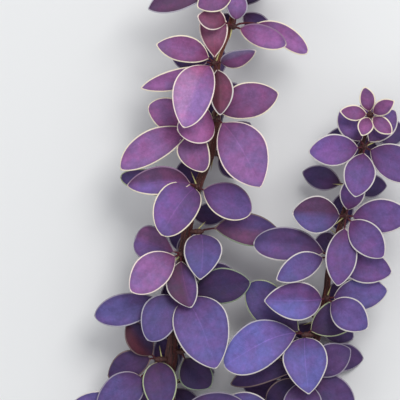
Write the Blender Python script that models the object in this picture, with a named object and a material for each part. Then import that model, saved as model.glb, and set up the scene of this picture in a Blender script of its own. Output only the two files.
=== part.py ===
"""Cut branch of Japanese barberry that lies on the ground, its leafy side up.

Two shoots rise from one woody foot. They run along +Y, the cut end faces -Y, the leaves that
show face +Z and the ground is z = 0. Everything is in metres.
"""

import math
import random
from dataclasses import dataclass, replace

import bmesh
import bpy
from mathutils import Matrix, Vector
from mathutils.bvhtree import BVHTree

MM = 0.001
GAP = 0.3 * MM  # air between two neighbouring solids

LEAF_THICKNESS = 0.4 * MM
STALK_WIDTH = 1.0 * MM
TIP_WIDTH = 0.6 * MM
WIDEST_AT = 0.5  # usual share of the blade's length where it is widest
TIP_BLUNTNESS = 0.74  # usual power of the outline at the tip, lower for a blunter one
BOW_EARLY = 0.7  # power of the share along, so that a bow is greatest over a third of the way
FOLD_SOFTNESS = 0.1  # share of the width over which the fold along the midrib is rounded
BLADE_ROWS = (0.16, 0.38, 0.6, 0.8, 0.93, 1.0)
BACK_BLADE_ROWS = (0.3, 0.62, 0.88, 1.0)

SPUR_ROOT_RADIUS = 0.75 * MM
SPUR_TIP_RADIUS = 1.1 * MM
SPUR_PAST_HUB = 0.6 * MM
SPUR_SIDES = 8

SPINE_LENGTHS = (4.5 * MM, 7 * MM)
SPINE_RADIUS = 0.3 * MM
SPINE_TIP_RADIUS = 0.08 * MM
SPINE_SIDES = 5
SPINE_AT = 0.45  # share of the spur's length where its spine grows
SPINE_BEARINGS = 12  # directions that are tried
SPINE_LIFT = 12
SPINE_SEED = 7

LIMB_BEVEL_STEPS = 2  # a bevel of 8 sides
LIMB_SIDES = 8
LIMB_STEPS_PER_KNOT = 2

CLEARANCE_THICKNESS = 0.85 * MM  # leaves keep this plate round their middle surface free
CLEARANCE_MARGIN = 0.4 * MM
CROWDED_PART = 0.3  # share of a leaf near its hub that may touch leaves of its own cluster
TILT_TRIES = (0, -4, -8, -12, -16, 4, 8, -20, 12, -24, 16, 20, -30, 26, 32, -36, 40, 48, 56)

# Moves the whole branch so that its box stands centred over the origin
BRANCH_PLACE = Vector((-16.2 * MM, -9.5 * MM, 0))

# Knots of a limb, from its foot to its tip, in mm: x, y, z of the axis and the radius
MAIN_STEM = (
    (4.0, -86, 2.6, 2.4),
    (4.0, -83.5, 2.6, 2.38),
    (4.0, -81, 2.6, 2.35),
    (-2.5, -68, 5.2, 2.2),
    (-10.5, -52, 9.5, 2.0),
    (-9.5, -34, 12.5, 1.9),
    (-7.2, -14, 14.0, 1.8),
    (-5.0, 4, 14.5, 1.65),
    (-1.0, 21, 15.0, 1.5),
    (4.2, 35, 15.5, 1.35),
    (6.2, 52, 16.0, 1.15),
    (6.0, 64, 16.5, 1.05),
    (10.2, 76, 17.0, 0.9),
    (12.0, 88, 18.0, 0.75),
    (13.0, 99, 19.0, 0.5),
)
RIGHT_SHOOT = (
    (3.3, -72.6, 4.3, 1.55),
    (5.5, -71.4, 4.6, 1.5),
    (14.0, -67.0, 6.5, 1.4),
    (25.5, -59.0, 9.5, 1.35),
    (34.0, -48.0, 11.5, 1.3),
    (39.4, -32.3, 13.0, 1.2),
    (42.8, -17.0, 13.8, 1.1),
    (44.5, -4.0, 14.3, 1.05),
    (49.0, 12.0, 14.8, 0.95),
    (55.0, 34.0, 15.8, 0.75),
    (58.0, 48.0, 17.0, 0.5),
)


@dataclass(frozen=True)
class Leaf:
    """One leaf: compass bearing of its axis seen from above, 0 along +Y and 90 along +X, in
    degrees; length from hub to tip and width in mm; lift of the tip over the hub, bend along
    the blade and roll about its axis in degrees; stalk in mm; fold of the halves as a slope; bow of
    the axis to the right, in mm; skew, the share by which the right half is wider and the left
    one narrower; where the blade is widest; and its tip's bluntness."""

    bearing: float
    length: float
    width: float
    lift: float = 15
    bend: float = -14
    roll: float = 0
    stalk: float = 2.5
    fold: float = 0.16
    bow: float = 0
    skew: float = 0
    widest: float = WIDEST_AT
    tip: float = TIP_BLUNTNESS
    rows: tuple = BLADE_ROWS


@dataclass(frozen=True)
class Cluster:
    """Leaves round the end of one short spur: the limb it sits on, the height along +Y, and
    the hub's offset from the limb's axis along x and z, all in mm."""

    name: str
    limb: str
    height: float
    side: float
    front: float
    leaves: tuple


YOUNG_LEAVES = 5
YOUNG_LIFTS = (38, 29)
YOUNG_SHORTER = 0.8


def young_leaves(length, width, first):
    """Small leaves spread evenly round a shoot's tip, steep and flatter ones by turns."""
    return tuple(
        Leaf(
            bearing=first + 360 * i / YOUNG_LEAVES,
            length=length - YOUNG_SHORTER * (i % 3),
            width=width,
            lift=YOUNG_LIFTS[i % 2],
            stalk=1.5,
        )
        for i in range(YOUNG_LEAVES)
    )


MAIN_CLUSTERS = (
    Cluster("main_tip", "main_stem", 97, 0.2, 1.9, young_leaves(10.5, 5, 20)),
    Cluster("main_1", "main_stem", 89, 0.2, 3.2, (
        Leaf(256, 31.5, 10.5, 12, stalk=6.5, bow=3.0),
        Leaf(243, 16.5, 9.4, 26, stalk=2),
        Leaf(318, 17.0, 8.5, -8),
        Leaf(84, 20.0, 9.5, 14),
    )),
    Cluster("main_2", "main_stem", 76, 1.3, 3.3, (
        Leaf(110, 19.6, 8.0, 15, widest=0.52, tip=0.6),
        Leaf(285.5, 14.2, 7.6, 34, stalk=3.5, bow=0.4),
        Leaf(4, 12.0, 7.4, 8, roll=12, bow=0.5, tip=0.55),
        Leaf(109, 26.8, 7.4, -2, stalk=7, bow=-3.6, widest=0.58, tip=0.55),
    )),
    Cluster("main_3", "main_stem", 63.5, -1.2, 3.5, (
        Leaf(205.5, 27.8, 14.1, 28, bend=-20, stalk=2, fold=0.26, bow=2.4, tip=0.68),
        Leaf(287.5, 21.6, 9.2, 18, bow=1.7),
        Leaf(74, 15.7, 7.2, 20, roll=35, bow=0.4, widest=0.42),
        Leaf(358, 17.4, 9.8, 3, stalk=2, bow=0.3, widest=0.64, tip=0.5),
        Leaf(173.5, 18.4, 8.3, 14, roll=-10, fold=0.5, bow=-1.2),
        Leaf(251, 26.4, 7.0, 4, bow=-1.2),
        Leaf(279, 15.0, 8.0, -14),
    )),
    Cluster("main_4", "main_stem", 44.5, 0.0, 3.6, (
        Leaf(253, 16.0, 13.4, 30, stalk=1.5, widest=0.44, tip=0.6),
        Leaf(147, 29.8, 17.0, 22, bow=-1.7, tip=0.8),
        Leaf(67, 23.0, 12.6, 6, bow=-1.9),
    )),
    Cluster("main_5", "main_stem", 43.5, -4.4, 2.2, (
        Leaf(240, 32.9, 11.0, 10, stalk=5, skew=0.3, widest=0.56, tip=0.68),
        Leaf(181.5, 17.5, 11.2, 12, bow=1.8, skew=0.3, widest=0.56, tip=0.56),
        Leaf(286, 19.6, 11.6, 2, bow=-0.9, tip=0.66),
    )),
    Cluster("main_6", "main_stem", 21.5, -0.2, 3.6, (
        Leaf(271, 24.4, 9.9, 13, fold=0.3, bow=1.6, skew=0.1),
        Leaf(217, 22.3, 15.2, 24, stalk=1, bow=1.2, skew=0.07, widest=0.46, tip=0.55),
        Leaf(117, 20.9, 12.2, 12, skew=-0.1, widest=0.55, tip=0.62),
        Leaf(277.5, 26.6, 8.6, -6, bow=-0.6, tip=0.5),
    )),
    Cluster("main_7", "main_stem", 6.2, 4.5, 2.4, (
        Leaf(179.5, 17.6, 13.1, 22, stalk=1, bow=-1.0, widest=0.38, tip=0.85),
        Leaf(92, 28.4, 11.2, -4, stalk=5, bow=-1.7, tip=0.9),
    )),
    Cluster("main_8", "main_stem", -1.5, -0.6, 3.6, (
        Leaf(234, 23.2, 12.5, 24, bow=1.1, skew=0.05, widest=0.53, tip=0.66),
        Leaf(169.5, 18.9, 10.6, 13, bow=0.8, skew=0.2),
        Leaf(290.5, 16.9, 11.8, 4, widest=0.68, tip=0.5),
    )),
    Cluster("main_9", "main_stem", -15.7, 1.6, 3.4, (
        Leaf(155, 28.6, 19.0, 20, stalk=1.5, bow=-1.5, widest=0.42),
        Leaf(219.5, 19.8, 13.0, 14, stalk=2, bow=2.0, tip=0.62),
        Leaf(257, 31.0, 11.1, 2, stalk=8, widest=0.56, tip=0.62),
        Leaf(78.6, 23.6, 12.4, 2, stalk=4, bow=-0.9),
    )),
    Cluster("main_10", "main_stem", -34.7, 3.4, 1.6, (
        Leaf(141.5, 15.7, 11.2, 4, bow=0.9, skew=0.1),
        Leaf(84, 17.0, 9.0, -6),
    )),
    Cluster("main_11", "main_stem", -37.4, -4.4, 2.2, (
        Leaf(175.5, 18.8, 11.8, 14, stalk=1, widest=0.42),
        Leaf(231, 27.0, 12.6, 14, stalk=8.5, bow=-1.0, widest=0.42),
        Leaf(251, 18.2, 10.2, -4, bow=1.6),
        Leaf(322, 16.8, 9.0, 8, bow=-1.0),
    )),
    Cluster("main_12", "main_stem", -56, -2.6, 3.2, (
        Leaf(277, 32.5, 10.5, 6, stalk=12),
        Leaf(81, 27.0, 10.0, 10, stalk=6),
        Leaf(158, 20.0, 11.6, 14),
        Leaf(214, 22.0, 12.6, 12),
    )),
)
RIGHT_CLUSTERS = (
    Cluster("right_tip", "right_shoot", 46, 0.3, 1.9, young_leaves(11.5, 5.5, 60)),
    Cluster("right_1", "right_shoot", 35, 0.8, 3.2, (
        Leaf(264.5, 20.0, 11.0, 15),
        Leaf(192, 19.0, 11.0, 24),
        Leaf(118, 23.3, 12.6, 16),
        Leaf(40, 17.0, 9.0, 16),
        Leaf(328, 15.5, 8.8, 20),
    )),
    Cluster("right_2", "right_shoot", 11.5, 0.8, 3.4, (
        Leaf(273, 19.4, 13.0, 18),
        Leaf(138, 20.0, 11.0, 20),
        Leaf(187, 24.6, 10.8, 14, stalk=4.5),
        Leaf(90, 22.5, 12.0, 13),
        Leaf(15, 15.5, 8.6, 18),
    )),
    Cluster("right_3", "right_shoot", -2.4, -0.8, 3.4, (
        Leaf(247.5, 21.7, 9.2, 24, bow=1.0),
        Leaf(281, 26.8, 11.8, 9, bow=1.9, widest=0.58, tip=0.55),
        Leaf(104, 22.0, 12.0, 8),
    )),
    Cluster("right_4", "right_shoot", -16.5, 0.3, 3.6, (
        Leaf(268.4, 22.4, 13.4, 17, stalk=2, fold=0.3, bow=-0.5, widest=0.45, tip=0.8),
        Leaf(126, 19.5, 11.4, 30),
        Leaf(82, 21.0, 11.6, 14),
    )),
    Cluster("right_5", "right_shoot", -29, -4.4, 3.0, (
        Leaf(249.5, 30.8, 16.4, 20, stalk=3, bow=3.0, widest=0.56, tip=0.62),
        Leaf(177, 21.2, 15.3, 20, stalk=1, bow=0.5, widest=0.4, tip=0.85),
        Leaf(63, 21.4, 12.0, 2, bow=-0.5),
        Leaf(312, 26.0, 13.8, -4, bow=-0.9, widest=0.58, tip=0.6),
    )),
    Cluster("right_6", "right_shoot", -42.5, -1.2, 3.3, (
        Leaf(180, 18.0, 13.4, 9),
        Leaf(62, 18.6, 11.4, 8),
        Leaf(262, 25.0, 8.6, -6, bow=3.4),
        Leaf(228, 17.0, 8.6, -14),
        Leaf(122, 21.0, 12.0, 12),
    )),
    Cluster("right_7", "right_shoot", -56.5, -0.6, 3.4, (
        Leaf(281, 20.6, 12.0, 11),
        Leaf(178, 19.5, 11.6, 16),
        Leaf(112, 20.0, 11.4, 12),
    )),
)

# Clusters on the limbs' undersides follow a seeded rule: heights in mm, then the sizes
BACK_HEIGHTS = {
    "main_stem": (82, 56, 33, 12, -8, -26, -46),
    "right_shoot": (40, 22, 4, -24, -36, -50),
}
BACK_LEAVES = 4
BACK_LENGTHS = (14, 19)
BACK_SLENDERNESS = 0.52  # width over length
BACK_HUB_DROP = 3.2
BACK_HUB_SWAY = 1.6
BACK_LIFTS = (-52, -6)
BACK_BENDS = (8, 26)
BACK_BEARING_SWAY = 14
BACK_ROLL = 16
BACK_SEED = 41

WOOD = (0.16, 0.035, 0.035, 1)
UPPER_LEAF = (0.27, 0.085, 0.24, 1)
LOWER_LEAF = (0.15, 0.10, 0.32, 1)
SHADED_LEAF = (0.08, 0.045, 0.13, 1)
UPPER_LEAVES_FROM = 10  # height in mm
BARK_ROUGHNESS = 0.6
LEAF_ROUGHNESS = 0.55


def limb_curve(knots):
    """Points (place, radius) of a smooth curve through the knots, by Catmull and Rom's rule."""
    values = [Vector(k) for k in knots]
    values = [2 * values[0] - values[1]] + values + [2 * values[-1] - values[-2]]
    points = []
    for a, b, c, d in zip(values, values[1:], values[2:], values[3:]):
        for i in range(LIMB_STEPS_PER_KNOT):
            t = i / LIMB_STEPS_PER_KNOT
            points.append(0.5 * (
                2 * b + (c - a) * t + (2 * a - 5 * b + 4 * c - d) * t**2
                + (3 * b - a - 3 * c + d) * t**3
            ))
    points.append(values[-2])
    return [(Vector(p[:3]) * MM + BRANCH_PLACE, p[3] * MM) for p in points]


def limb_at(points, height):
    """Place, direction and radius of a limb where its axis passes a height along +Y."""
    level = height * MM + BRANCH_PLACE.y
    for (a, radius_a), (b, radius_b) in zip(points, points[1:]):
        if level <= b.y:
            t = (level - a.y) / (b.y - a.y)
            break
    return a.lerp(b, t), (b - a).normalized(), radius_a + (radius_b - radius_a) * t


def leaf_half_width(leaf, along, side):
    """Width of a leaf's right or left half at a share of its length: stalk, then blade."""
    blade_start = leaf.stalk / leaf.length
    u = (along - blade_start) / (1 - blade_start)
    if u <= 0:
        return STALK_WIDTH / 2
    rise = leaf.tip * leaf.widest / (1 - leaf.widest)
    highest = leaf.widest**rise * (1 - leaf.widest)**leaf.tip
    outline = u**rise * max(1 - u, 0)**leaf.tip / highest
    half = leaf.width * MM / 2 * outline * (1 + leaf.skew * math.copysign(1, side))
    return max(half, (TIP_WIDTH if u > leaf.widest else STALK_WIDTH) / 2)


def leaf_point(leaf, along, side, margin):
    """Point of a leaf's middle surface: along is 0 at the hub and 1 at the tip, side runs from
    -1 to 1 across, and margin widens the outline. The axis lies on +Y and the face on +Z."""
    bend = math.radians(leaf.bend)
    turn = bend * (along - 0.5)
    reach = leaf.length * MM / bend
    x = side * (leaf_half_width(leaf, along, side) + margin)
    sway = leaf.bow * MM * math.sin(math.pi * along**BOW_EARLY)
    soft = FOLD_SOFTNESS * leaf.width * MM
    rise = leaf.fold * (math.hypot(x, soft) - soft)
    y = reach * (math.sin(turn) + math.sin(bend / 2)) - rise * math.sin(turn)
    z = -reach * (math.cos(turn) - math.cos(bend / 2)) + rise * math.cos(turn)
    return Vector((x + sway, y, z))


def leaf_rows(leaf, first):
    """Shares of a leaf's length where its cross rows lie, from the first one wanted."""
    blade_start = leaf.stalk / leaf.length
    rows = [0, blade_start] + [blade_start + (1 - blade_start) * row for row in leaf.rows]
    return [row for row in rows if row >= first]


def leaf_place(leaf, hub):
    """Matrix that sets a leaf's root on its hub, turned to its bearing, lift and roll."""
    turn = Matrix.Rotation(-math.radians(leaf.bearing), 4, "Z")
    tilt = Matrix.Rotation(math.radians(leaf.lift), 4, "X")
    roll = Matrix.Rotation(math.radians(leaf.roll), 4, "Y")
    return Matrix.Translation(hub) @ turn @ tilt @ roll


def leaf_plate(leaf, hub, thickness, margin=0.0, first=0.0):
    """Closed plate of a leaf, three points across, with its middle surface at half thickness."""
    rows = leaf_rows(leaf, first)
    mesh = bmesh.new()
    bmesh.ops.create_grid(mesh, x_segments=2, y_segments=len(rows) - 1, size=1)
    for vertex in mesh.verts:
        row = round((vertex.co.y + 1) / 2 * (len(rows) - 1))
        vertex.co = leaf_point(leaf, rows[row], round(vertex.co.x), margin)
    mesh.normal_update()
    for vertex in mesh.verts:
        vertex.co -= vertex.normal * thickness / 2
    bmesh.ops.solidify(mesh, geom=mesh.faces[:], thickness=-thickness)
    bmesh.ops.recalc_face_normals(mesh, faces=mesh.faces[:])
    mesh.transform(leaf_place(leaf, hub))
    return mesh


def spur_cone(foot, hub):
    """Short woody spur from its foot near the limb to just past the hub."""
    run = hub - foot
    length = run.length + SPUR_PAST_HUB
    mesh = bmesh.new()
    bmesh.ops.create_cone(
        mesh, cap_ends=True, segments=SPUR_SIDES, radius1=SPUR_ROOT_RADIUS,
        radius2=SPUR_TIP_RADIUS, depth=length,
        matrix=Matrix.Translation((0, 0, length / 2)),
    )
    mesh.transform(Matrix.Translation(foot) @ run.to_track_quat("Z", "X").to_matrix().to_4x4())
    return mesh


def spine_cone(foot, hub, bearing, lift, length, margin=0.0):
    """Thin spine that grows sideways out of a spur."""
    heading = Matrix.Rotation(-math.radians(bearing), 3, "Z")
    heading @= Matrix.Rotation(math.radians(lift), 3, "X")
    start = foot.lerp(hub, SPINE_AT)
    mesh = bmesh.new()
    bmesh.ops.create_cone(
        mesh, cap_ends=True, segments=SPINE_SIDES, radius1=SPINE_RADIUS + margin,
        radius2=SPINE_TIP_RADIUS + margin, depth=length,
        matrix=Matrix.Translation((0, 0, length / 2)),
    )
    run = heading @ Vector((0, 1, 0))
    mesh.transform(Matrix.Translation(start) @ run.to_track_quat("Z", "X").to_matrix().to_4x4())
    return mesh


def limb_tube(points):
    """Search tree of a tube that holds a limb and the gap round it."""
    places = []
    faces = []
    for i, (place, radius) in enumerate(points):
        ahead = points[min(i + 1, len(points) - 1)][0]
        behind = points[max(i - 1, 0)][0]
        frame = (ahead - behind).to_track_quat("Z", "X").to_matrix()
        for j in range(LIMB_SIDES):
            angle = math.tau * j / LIMB_SIDES
            ring = Vector((math.cos(angle), math.sin(angle), 0)) * (radius + GAP)
            places.append(place + frame @ ring / math.cos(math.pi / LIMB_SIDES))
            if i:
                k = (j + 1) % LIMB_SIDES
                near = i * LIMB_SIDES
                far = near - LIMB_SIDES
                faces.append((far + j, far + k, near + k, near + j))
    return BVHTree.FromPolygons(places, faces)


def tree_of(mesh):
    """Search tree of a mesh, which is then freed."""
    tree = BVHTree.FromBMesh(mesh)
    mesh.free()
    return tree


def over_ground(leaf, hub):
    """The leaf, raised a degree at a time until all of it lies over the ground."""
    while True:
        mesh = leaf_plate(leaf, hub, LEAF_THICKNESS)
        lowest = min(vertex.co.z for vertex in mesh.verts)
        mesh.free()
        if lowest >= 0:
            return leaf
        leaf = replace(leaf, lift=leaf.lift + 1)


def settle(leaf, cluster, hub, limbs, spurs, placed):
    """The leaf as written, or tilted by the first step that keeps it over the ground and clear
    of limbs, of other clusters' spurs and of every leaf placed before it; None where none does."""
    for tilt in TILT_TRIES:
        trial = over_ground(replace(leaf, lift=leaf.lift + tilt), hub)
        whole = tree_of(leaf_plate(trial, hub, CLEARANCE_THICKNESS, CLEARANCE_MARGIN))
        if any(whole.overlap(limb) for limb in limbs):
            continue
        if any(whole.overlap(spur) for name, spur in spurs if name != cluster.name):
            continue
        outer = tree_of(leaf_plate(
            trial, hub, CLEARANCE_THICKNESS, CLEARANCE_MARGIN, first=CROWDED_PART
        ))
        own = [other for name, _, other in placed if name == cluster.name]
        others = [other for name, other, _ in placed if name != cluster.name]
        if any(outer.overlap(other) for other in own):
            continue
        if any(whole.overlap(other) for other in others):
            continue
        placed.append((cluster.name, whole, outer))
        return trial
    return None


def settle_spine(cluster, ends, dice, limbs, spurs, placed):
    """Spine of a cluster in the first direction that is clear of all else, or None."""
    first = dice.uniform(0, 360)
    length = dice.uniform(*SPINE_LENGTHS)
    for i in range(SPINE_BEARINGS):
        bearing = first + 360 * i / SPINE_BEARINGS
        lift = math.copysign(SPINE_LIFT, cluster.front)
        mesh = spine_cone(*ends, bearing, lift, length, margin=CLEARANCE_MARGIN)
        lowest = min(vertex.co.z for vertex in mesh.verts)
        tree = tree_of(mesh)
        others = [whole for name, whole, _ in placed if name != cluster.name]
        others += [outer for name, _, outer in placed if name == cluster.name]
        others += [spur for name, spur in spurs if name != cluster.name] + limbs
        if lowest > 0 and not any(tree.overlap(other) for other in others):
            placed.append((cluster.name + " spine", tree, tree))
            return spine_cone(*ends, bearing, lift, length)
    return None


def back_clusters():
    """Clusters on the undersides: seeded leaves that slope down towards the ground."""
    dice = random.Random(BACK_SEED)
    clusters = []
    for limb, heights in BACK_HEIGHTS.items():
        for number, height in enumerate(heights, 1):
            first = dice.uniform(0, 360)
            leaves = []
            for i in range(BACK_LEAVES):
                length = dice.uniform(*BACK_LENGTHS)
                leaves.append(Leaf(
                    bearing=first + 360 * i / BACK_LEAVES + dice.uniform(-1, 1) * BACK_BEARING_SWAY,
                    length=length,
                    width=length * BACK_SLENDERNESS,
                    lift=dice.uniform(*BACK_LIFTS),
                    bend=dice.uniform(*BACK_BENDS),
                    roll=dice.uniform(-1, 1) * BACK_ROLL,
                    rows=BACK_BLADE_ROWS,
                ))
            side = BACK_HUB_SWAY * (1 if number % 2 else -1)
            name = limb.split("_")[0] + "_back_" + str(number)
            clusters.append(Cluster(name, limb, height, side, -BACK_HUB_DROP, tuple(leaves)))
    return tuple(clusters)


def spur_ends(cluster, limb_points):
    """Foot and hub of a cluster's spur; the foot's near edge stops short of the limb by the gap."""
    axis, direction, radius = limb_at(limb_points[cluster.limb], cluster.height)
    run = Vector((cluster.side, 0, cluster.front)) * MM
    slant = abs(run.normalized().dot(direction))
    reach = (radius + GAP + SPUR_ROOT_RADIUS * slant) / math.sqrt(1 - slant**2)
    return axis + run.normalized() * reach, axis + run


def material(name, colour, roughness):
    """A material of one colour."""
    result = bpy.data.materials.new(name)
    result.use_nodes = True
    shader = result.node_tree.nodes["Principled BSDF"]
    shader.inputs["Base Color"].default_value = colour
    shader.inputs["Roughness"].default_value = roughness
    return result


def add_object(name, mesh, collection):
    """An object from a bmesh, which is then freed."""
    data = bpy.data.meshes.new(name)
    mesh.to_mesh(data)
    mesh.free()
    result = bpy.data.objects.new(name, data)
    collection.objects.link(result)
    return result


def make_limb(name, points, collection):
    """A tapering limb: a round curve with filled ends."""
    data = bpy.data.curves.new(name, "CURVE")
    data.dimensions = "3D"
    data.bevel_depth = 1.0
    data.bevel_resolution = LIMB_BEVEL_STEPS
    data.use_fill_caps = True
    spline = data.splines.new("POLY")
    spline.points.add(len(points) - 1)
    for target, (place, radius) in zip(spline.points, points):
        target.co = (*place, 1)
        target.radius = radius
    limb = bpy.data.objects.new(name, data)
    collection.objects.link(limb)
    data.materials.append(material(name + "_bark", WOOD, BARK_ROUGHNESS))


def keep_outer_shell(mesh):
    """Deletes loose scraps and sealed hollows, all but the shell with the most faces."""
    left = set(mesh.faces)
    shells = []
    while left:
        shell = set()
        edge = [left.pop()]
        while edge:
            face = edge.pop()
            shell.add(face)
            for near in {f for e in face.edges for f in e.link_faces} & left:
                left.remove(near)
                edge.append(near)
        shells.append(shell)
    main = max(shells, key=len)
    bmesh.ops.delete(mesh, geom=[f for f in mesh.faces if f not in main], context="FACES")


def fuse(name, meshes, collection):
    """One solid from several closed meshes, joined by a Boolean union."""
    parts = bpy.data.collections.new(name + "_parts")
    bpy.context.scene.collection.children.link(parts)
    solid = add_object(name, meshes[0], collection)
    for i, mesh in enumerate(meshes[1:]):
        add_object(name + "_leaf_" + str(i), mesh, parts)
    union = solid.modifiers.new("join", "BOOLEAN")
    union.operation = "UNION"
    union.operand_type = "COLLECTION"
    union.collection = parts
    union.solver = "EXACT"
    evaluated = solid.evaluated_get(bpy.context.evaluated_depsgraph_get())
    joined = bmesh.new()
    joined.from_mesh(evaluated.to_mesh())
    keep_outer_shell(joined)
    bpy.data.objects.remove(solid)
    for part in list(parts.objects):
        bpy.data.objects.remove(part)
    bpy.data.collections.remove(parts)
    return add_object(name, joined, collection)


def make_cluster(cluster, ends, leaves, spine, collection):
    """A spur with its leaves and its spine fused on."""
    meshes = [spur_cone(*ends)] + [leaf_plate(leaf, ends[1], LEAF_THICKNESS) for leaf in leaves]
    if spine:
        meshes.append(spine)
    solid = fuse("leaves_" + cluster.name, meshes, collection)
    if "back" in cluster.name:
        colour = SHADED_LEAF
    elif cluster.height > UPPER_LEAVES_FROM:
        colour = UPPER_LEAF
    else:
        colour = LOWER_LEAF
    solid.data.materials.append(material(cluster.name + "_blades", colour, LEAF_ROUGHNESS))


def build():
    for old in list(bpy.data.objects):
        bpy.data.objects.remove(old)
    collection = bpy.data.collections.new("barberry_branch")
    bpy.context.scene.collection.children.link(collection)

    limb_points = {
        "main_stem": limb_curve(MAIN_STEM),
        "right_shoot": limb_curve(RIGHT_SHOOT),
    }
    for name, points in limb_points.items():
        make_limb(name, points, collection)

    clusters = MAIN_CLUSTERS + RIGHT_CLUSTERS + back_clusters()
    ends = {cluster.name: spur_ends(cluster, limb_points) for cluster in clusters}
    limbs = [limb_tube(points) for points in limb_points.values()]
    spurs = [(name, tree_of(spur_cone(*pair))) for name, pair in ends.items()]
    placed = []
    settled = {}
    for cluster in clusters:
        hub = ends[cluster.name][1]
        leaves = [settle(leaf, cluster, hub, limbs, spurs, placed) for leaf in cluster.leaves]
        settled[cluster.name] = [leaf for leaf in leaves if leaf]
    dice = random.Random(SPINE_SEED)
    for cluster in clusters:
        pair = ends[cluster.name]
        spine = settle_spine(cluster, pair, dice, limbs, spurs, placed)
        make_cluster(cluster, pair, settled[cluster.name], spine, collection)


build()
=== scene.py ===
import math
import random
from dataclasses import dataclass, replace

import bmesh
import bpy
from mathutils import Matrix, Vector, noise
from mathutils.bvhtree import BVHTree


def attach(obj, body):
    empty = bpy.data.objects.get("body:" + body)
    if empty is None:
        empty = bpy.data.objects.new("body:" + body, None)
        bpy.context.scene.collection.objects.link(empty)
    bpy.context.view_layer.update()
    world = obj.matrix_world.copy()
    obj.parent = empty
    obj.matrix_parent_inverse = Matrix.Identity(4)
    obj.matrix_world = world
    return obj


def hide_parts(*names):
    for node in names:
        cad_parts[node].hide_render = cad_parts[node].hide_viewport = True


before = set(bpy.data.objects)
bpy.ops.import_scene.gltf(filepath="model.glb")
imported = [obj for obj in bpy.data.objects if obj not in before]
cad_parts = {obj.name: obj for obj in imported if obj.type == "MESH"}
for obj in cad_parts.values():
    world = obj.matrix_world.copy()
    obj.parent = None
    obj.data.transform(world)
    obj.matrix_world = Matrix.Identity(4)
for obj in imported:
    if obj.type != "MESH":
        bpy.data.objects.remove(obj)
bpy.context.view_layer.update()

# The two shoots. Young barberry wood, 2 to 5 mm thick, under a thin maroon bark with long
# ridges, a swelling under every spur and pale breathing pores. The right shoot starts at the
# main one's foot. A knife cut ends the foot, and shows the yellow wood round its pith.
MM = 0.001
GAP = 0.3 * MM

# Moves the whole branch so that its box stands centred over the origin
BRANCH_PLACE = Vector((-16.2 * MM, -9.5 * MM, 0))

# Knots of a limb, from its foot to its tip, in mm: x, y, z of the axis and the radius
MAIN_STEM = (
    (4.0, -86, 2.6, 2.4),
    (4.0, -83.5, 2.6, 2.38),
    (4.0, -81, 2.6, 2.35),
    (-2.5, -68, 5.2, 2.2),
    (-10.5, -52, 9.5, 2.0),
    (-9.5, -34, 12.5, 1.9),
    (-7.2, -14, 14.0, 1.8),
    (-5.0, 4, 14.5, 1.65),
    (-1.0, 21, 15.0, 1.5),
    (4.2, 35, 15.5, 1.35),
    (6.2, 52, 16.0, 1.15),
    (6.0, 64, 16.5, 1.05),
    (10.2, 76, 17.0, 0.9),
    (12.0, 88, 18.0, 0.75),
    (13.0, 99, 19.0, 0.5),
)
RIGHT_SHOOT = (
    (3.3, -72.6, 4.3, 1.55),
    (5.5, -71.4, 4.6, 1.5),
    (14.0, -67.0, 6.5, 1.4),
    (25.5, -59.0, 9.5, 1.35),
    (34.0, -48.0, 11.5, 1.3),
    (39.4, -32.3, 13.0, 1.2),
    (42.8, -17.0, 13.8, 1.1),
    (44.5, -4.0, 14.3, 1.05),
    (49.0, 12.0, 14.8, 0.95),
    (55.0, 34.0, 15.8, 0.75),
    (58.0, 48.0, 17.0, 0.5),
)
PLAN_STEPS = 2  # steps per knot in the plan that leaves are set out by
BARK_STEPS = 14  # and in the bark's mesh
BARK_SIDES = 28
WHOLE_MAP = (0, 0, 1, 1)  # left, low, right and high edge of a map's cell
RIDGES = 5
RIDGE_DEPTH = 0.07  # share of the radius
RIDGE_TWIST = 0.05  # turns of the ridges per mm
KNOBBLE = 0.05
KNOBS = (2, 0.5)  # how close the knobs stand: round the shoot, and along it per mm
BUD_SWELLING = 0.16  # share of the radius, where a spur grows
BUD_SWELLING_LENGTH = 1.8  # mm
CUT_RINGS = (0, 0.3, 0.62, 0.9)  # shares of the radius, on the cut face
COLLAR = ((3.1, 0), (2.9, 1.1), (1.6, 1.42), (0.7, 1.22))  # fork: mm back, share of the radius
ROUND_TIP = ((0.5, 0.87), (0.85, 0.53), (1.0, 0.0))  # how the tip closes: run, radius
WELD = 0.001 * MM  # vertices nearer than this become one
CUT_SLACK = 0.01 * MM  # faces this near the foot's end are the cut
YOUNG_RUN = (110, 180)  # mm from a shoot's foot, over which its bark grows redder
BARK_RELIEF = 0.12 * MM
PITH_EDGE = (0.45, 0.62)  # mm from the centre
GREEN_RIM = (1.85, 2.1)  # mm from the centre
CUT_RELIEF = 0.05 * MM


def limb_curve(knots, steps):
    """Points (place, radius) of a smooth curve that passes through every knot."""
    values = [Vector(k) for k in knots]
    values = [2 * values[0] - values[1]] + values + [2 * values[-1] - values[-2]]
    points = []
    for a, b, c, d in zip(values, values[1:], values[2:], values[3:]):
        for i in range(steps):
            t = i / steps
            points.append(0.5 * (
                2 * b + (c - a) * t + (2 * a - 5 * b + 4 * c - d) * t**2
                + (3 * b - a - 3 * c + d) * t**3
            ))
    points.append(values[-2])
    return [(Vector(p[:3]) * MM + BRANCH_PLACE, p[3] * MM) for p in points]


def facing(direction):
    """Axes of a cross section that stands square to a direction."""
    return direction.to_track_quat("Z", "X").to_matrix()


def stations_along(points):
    """Cross sections (place, axes, radius, run in mm) of a bar along a list of points."""
    stations = []
    run = 0
    for i, (place, radius) in enumerate(points):
        ahead = points[min(i + 1, len(points) - 1)][0]
        behind = points[max(i - 1, 0)][0]
        if i:
            run += (place - behind).length / MM
        stations.append((place, facing(ahead - behind), radius, run))
    return stations


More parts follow.
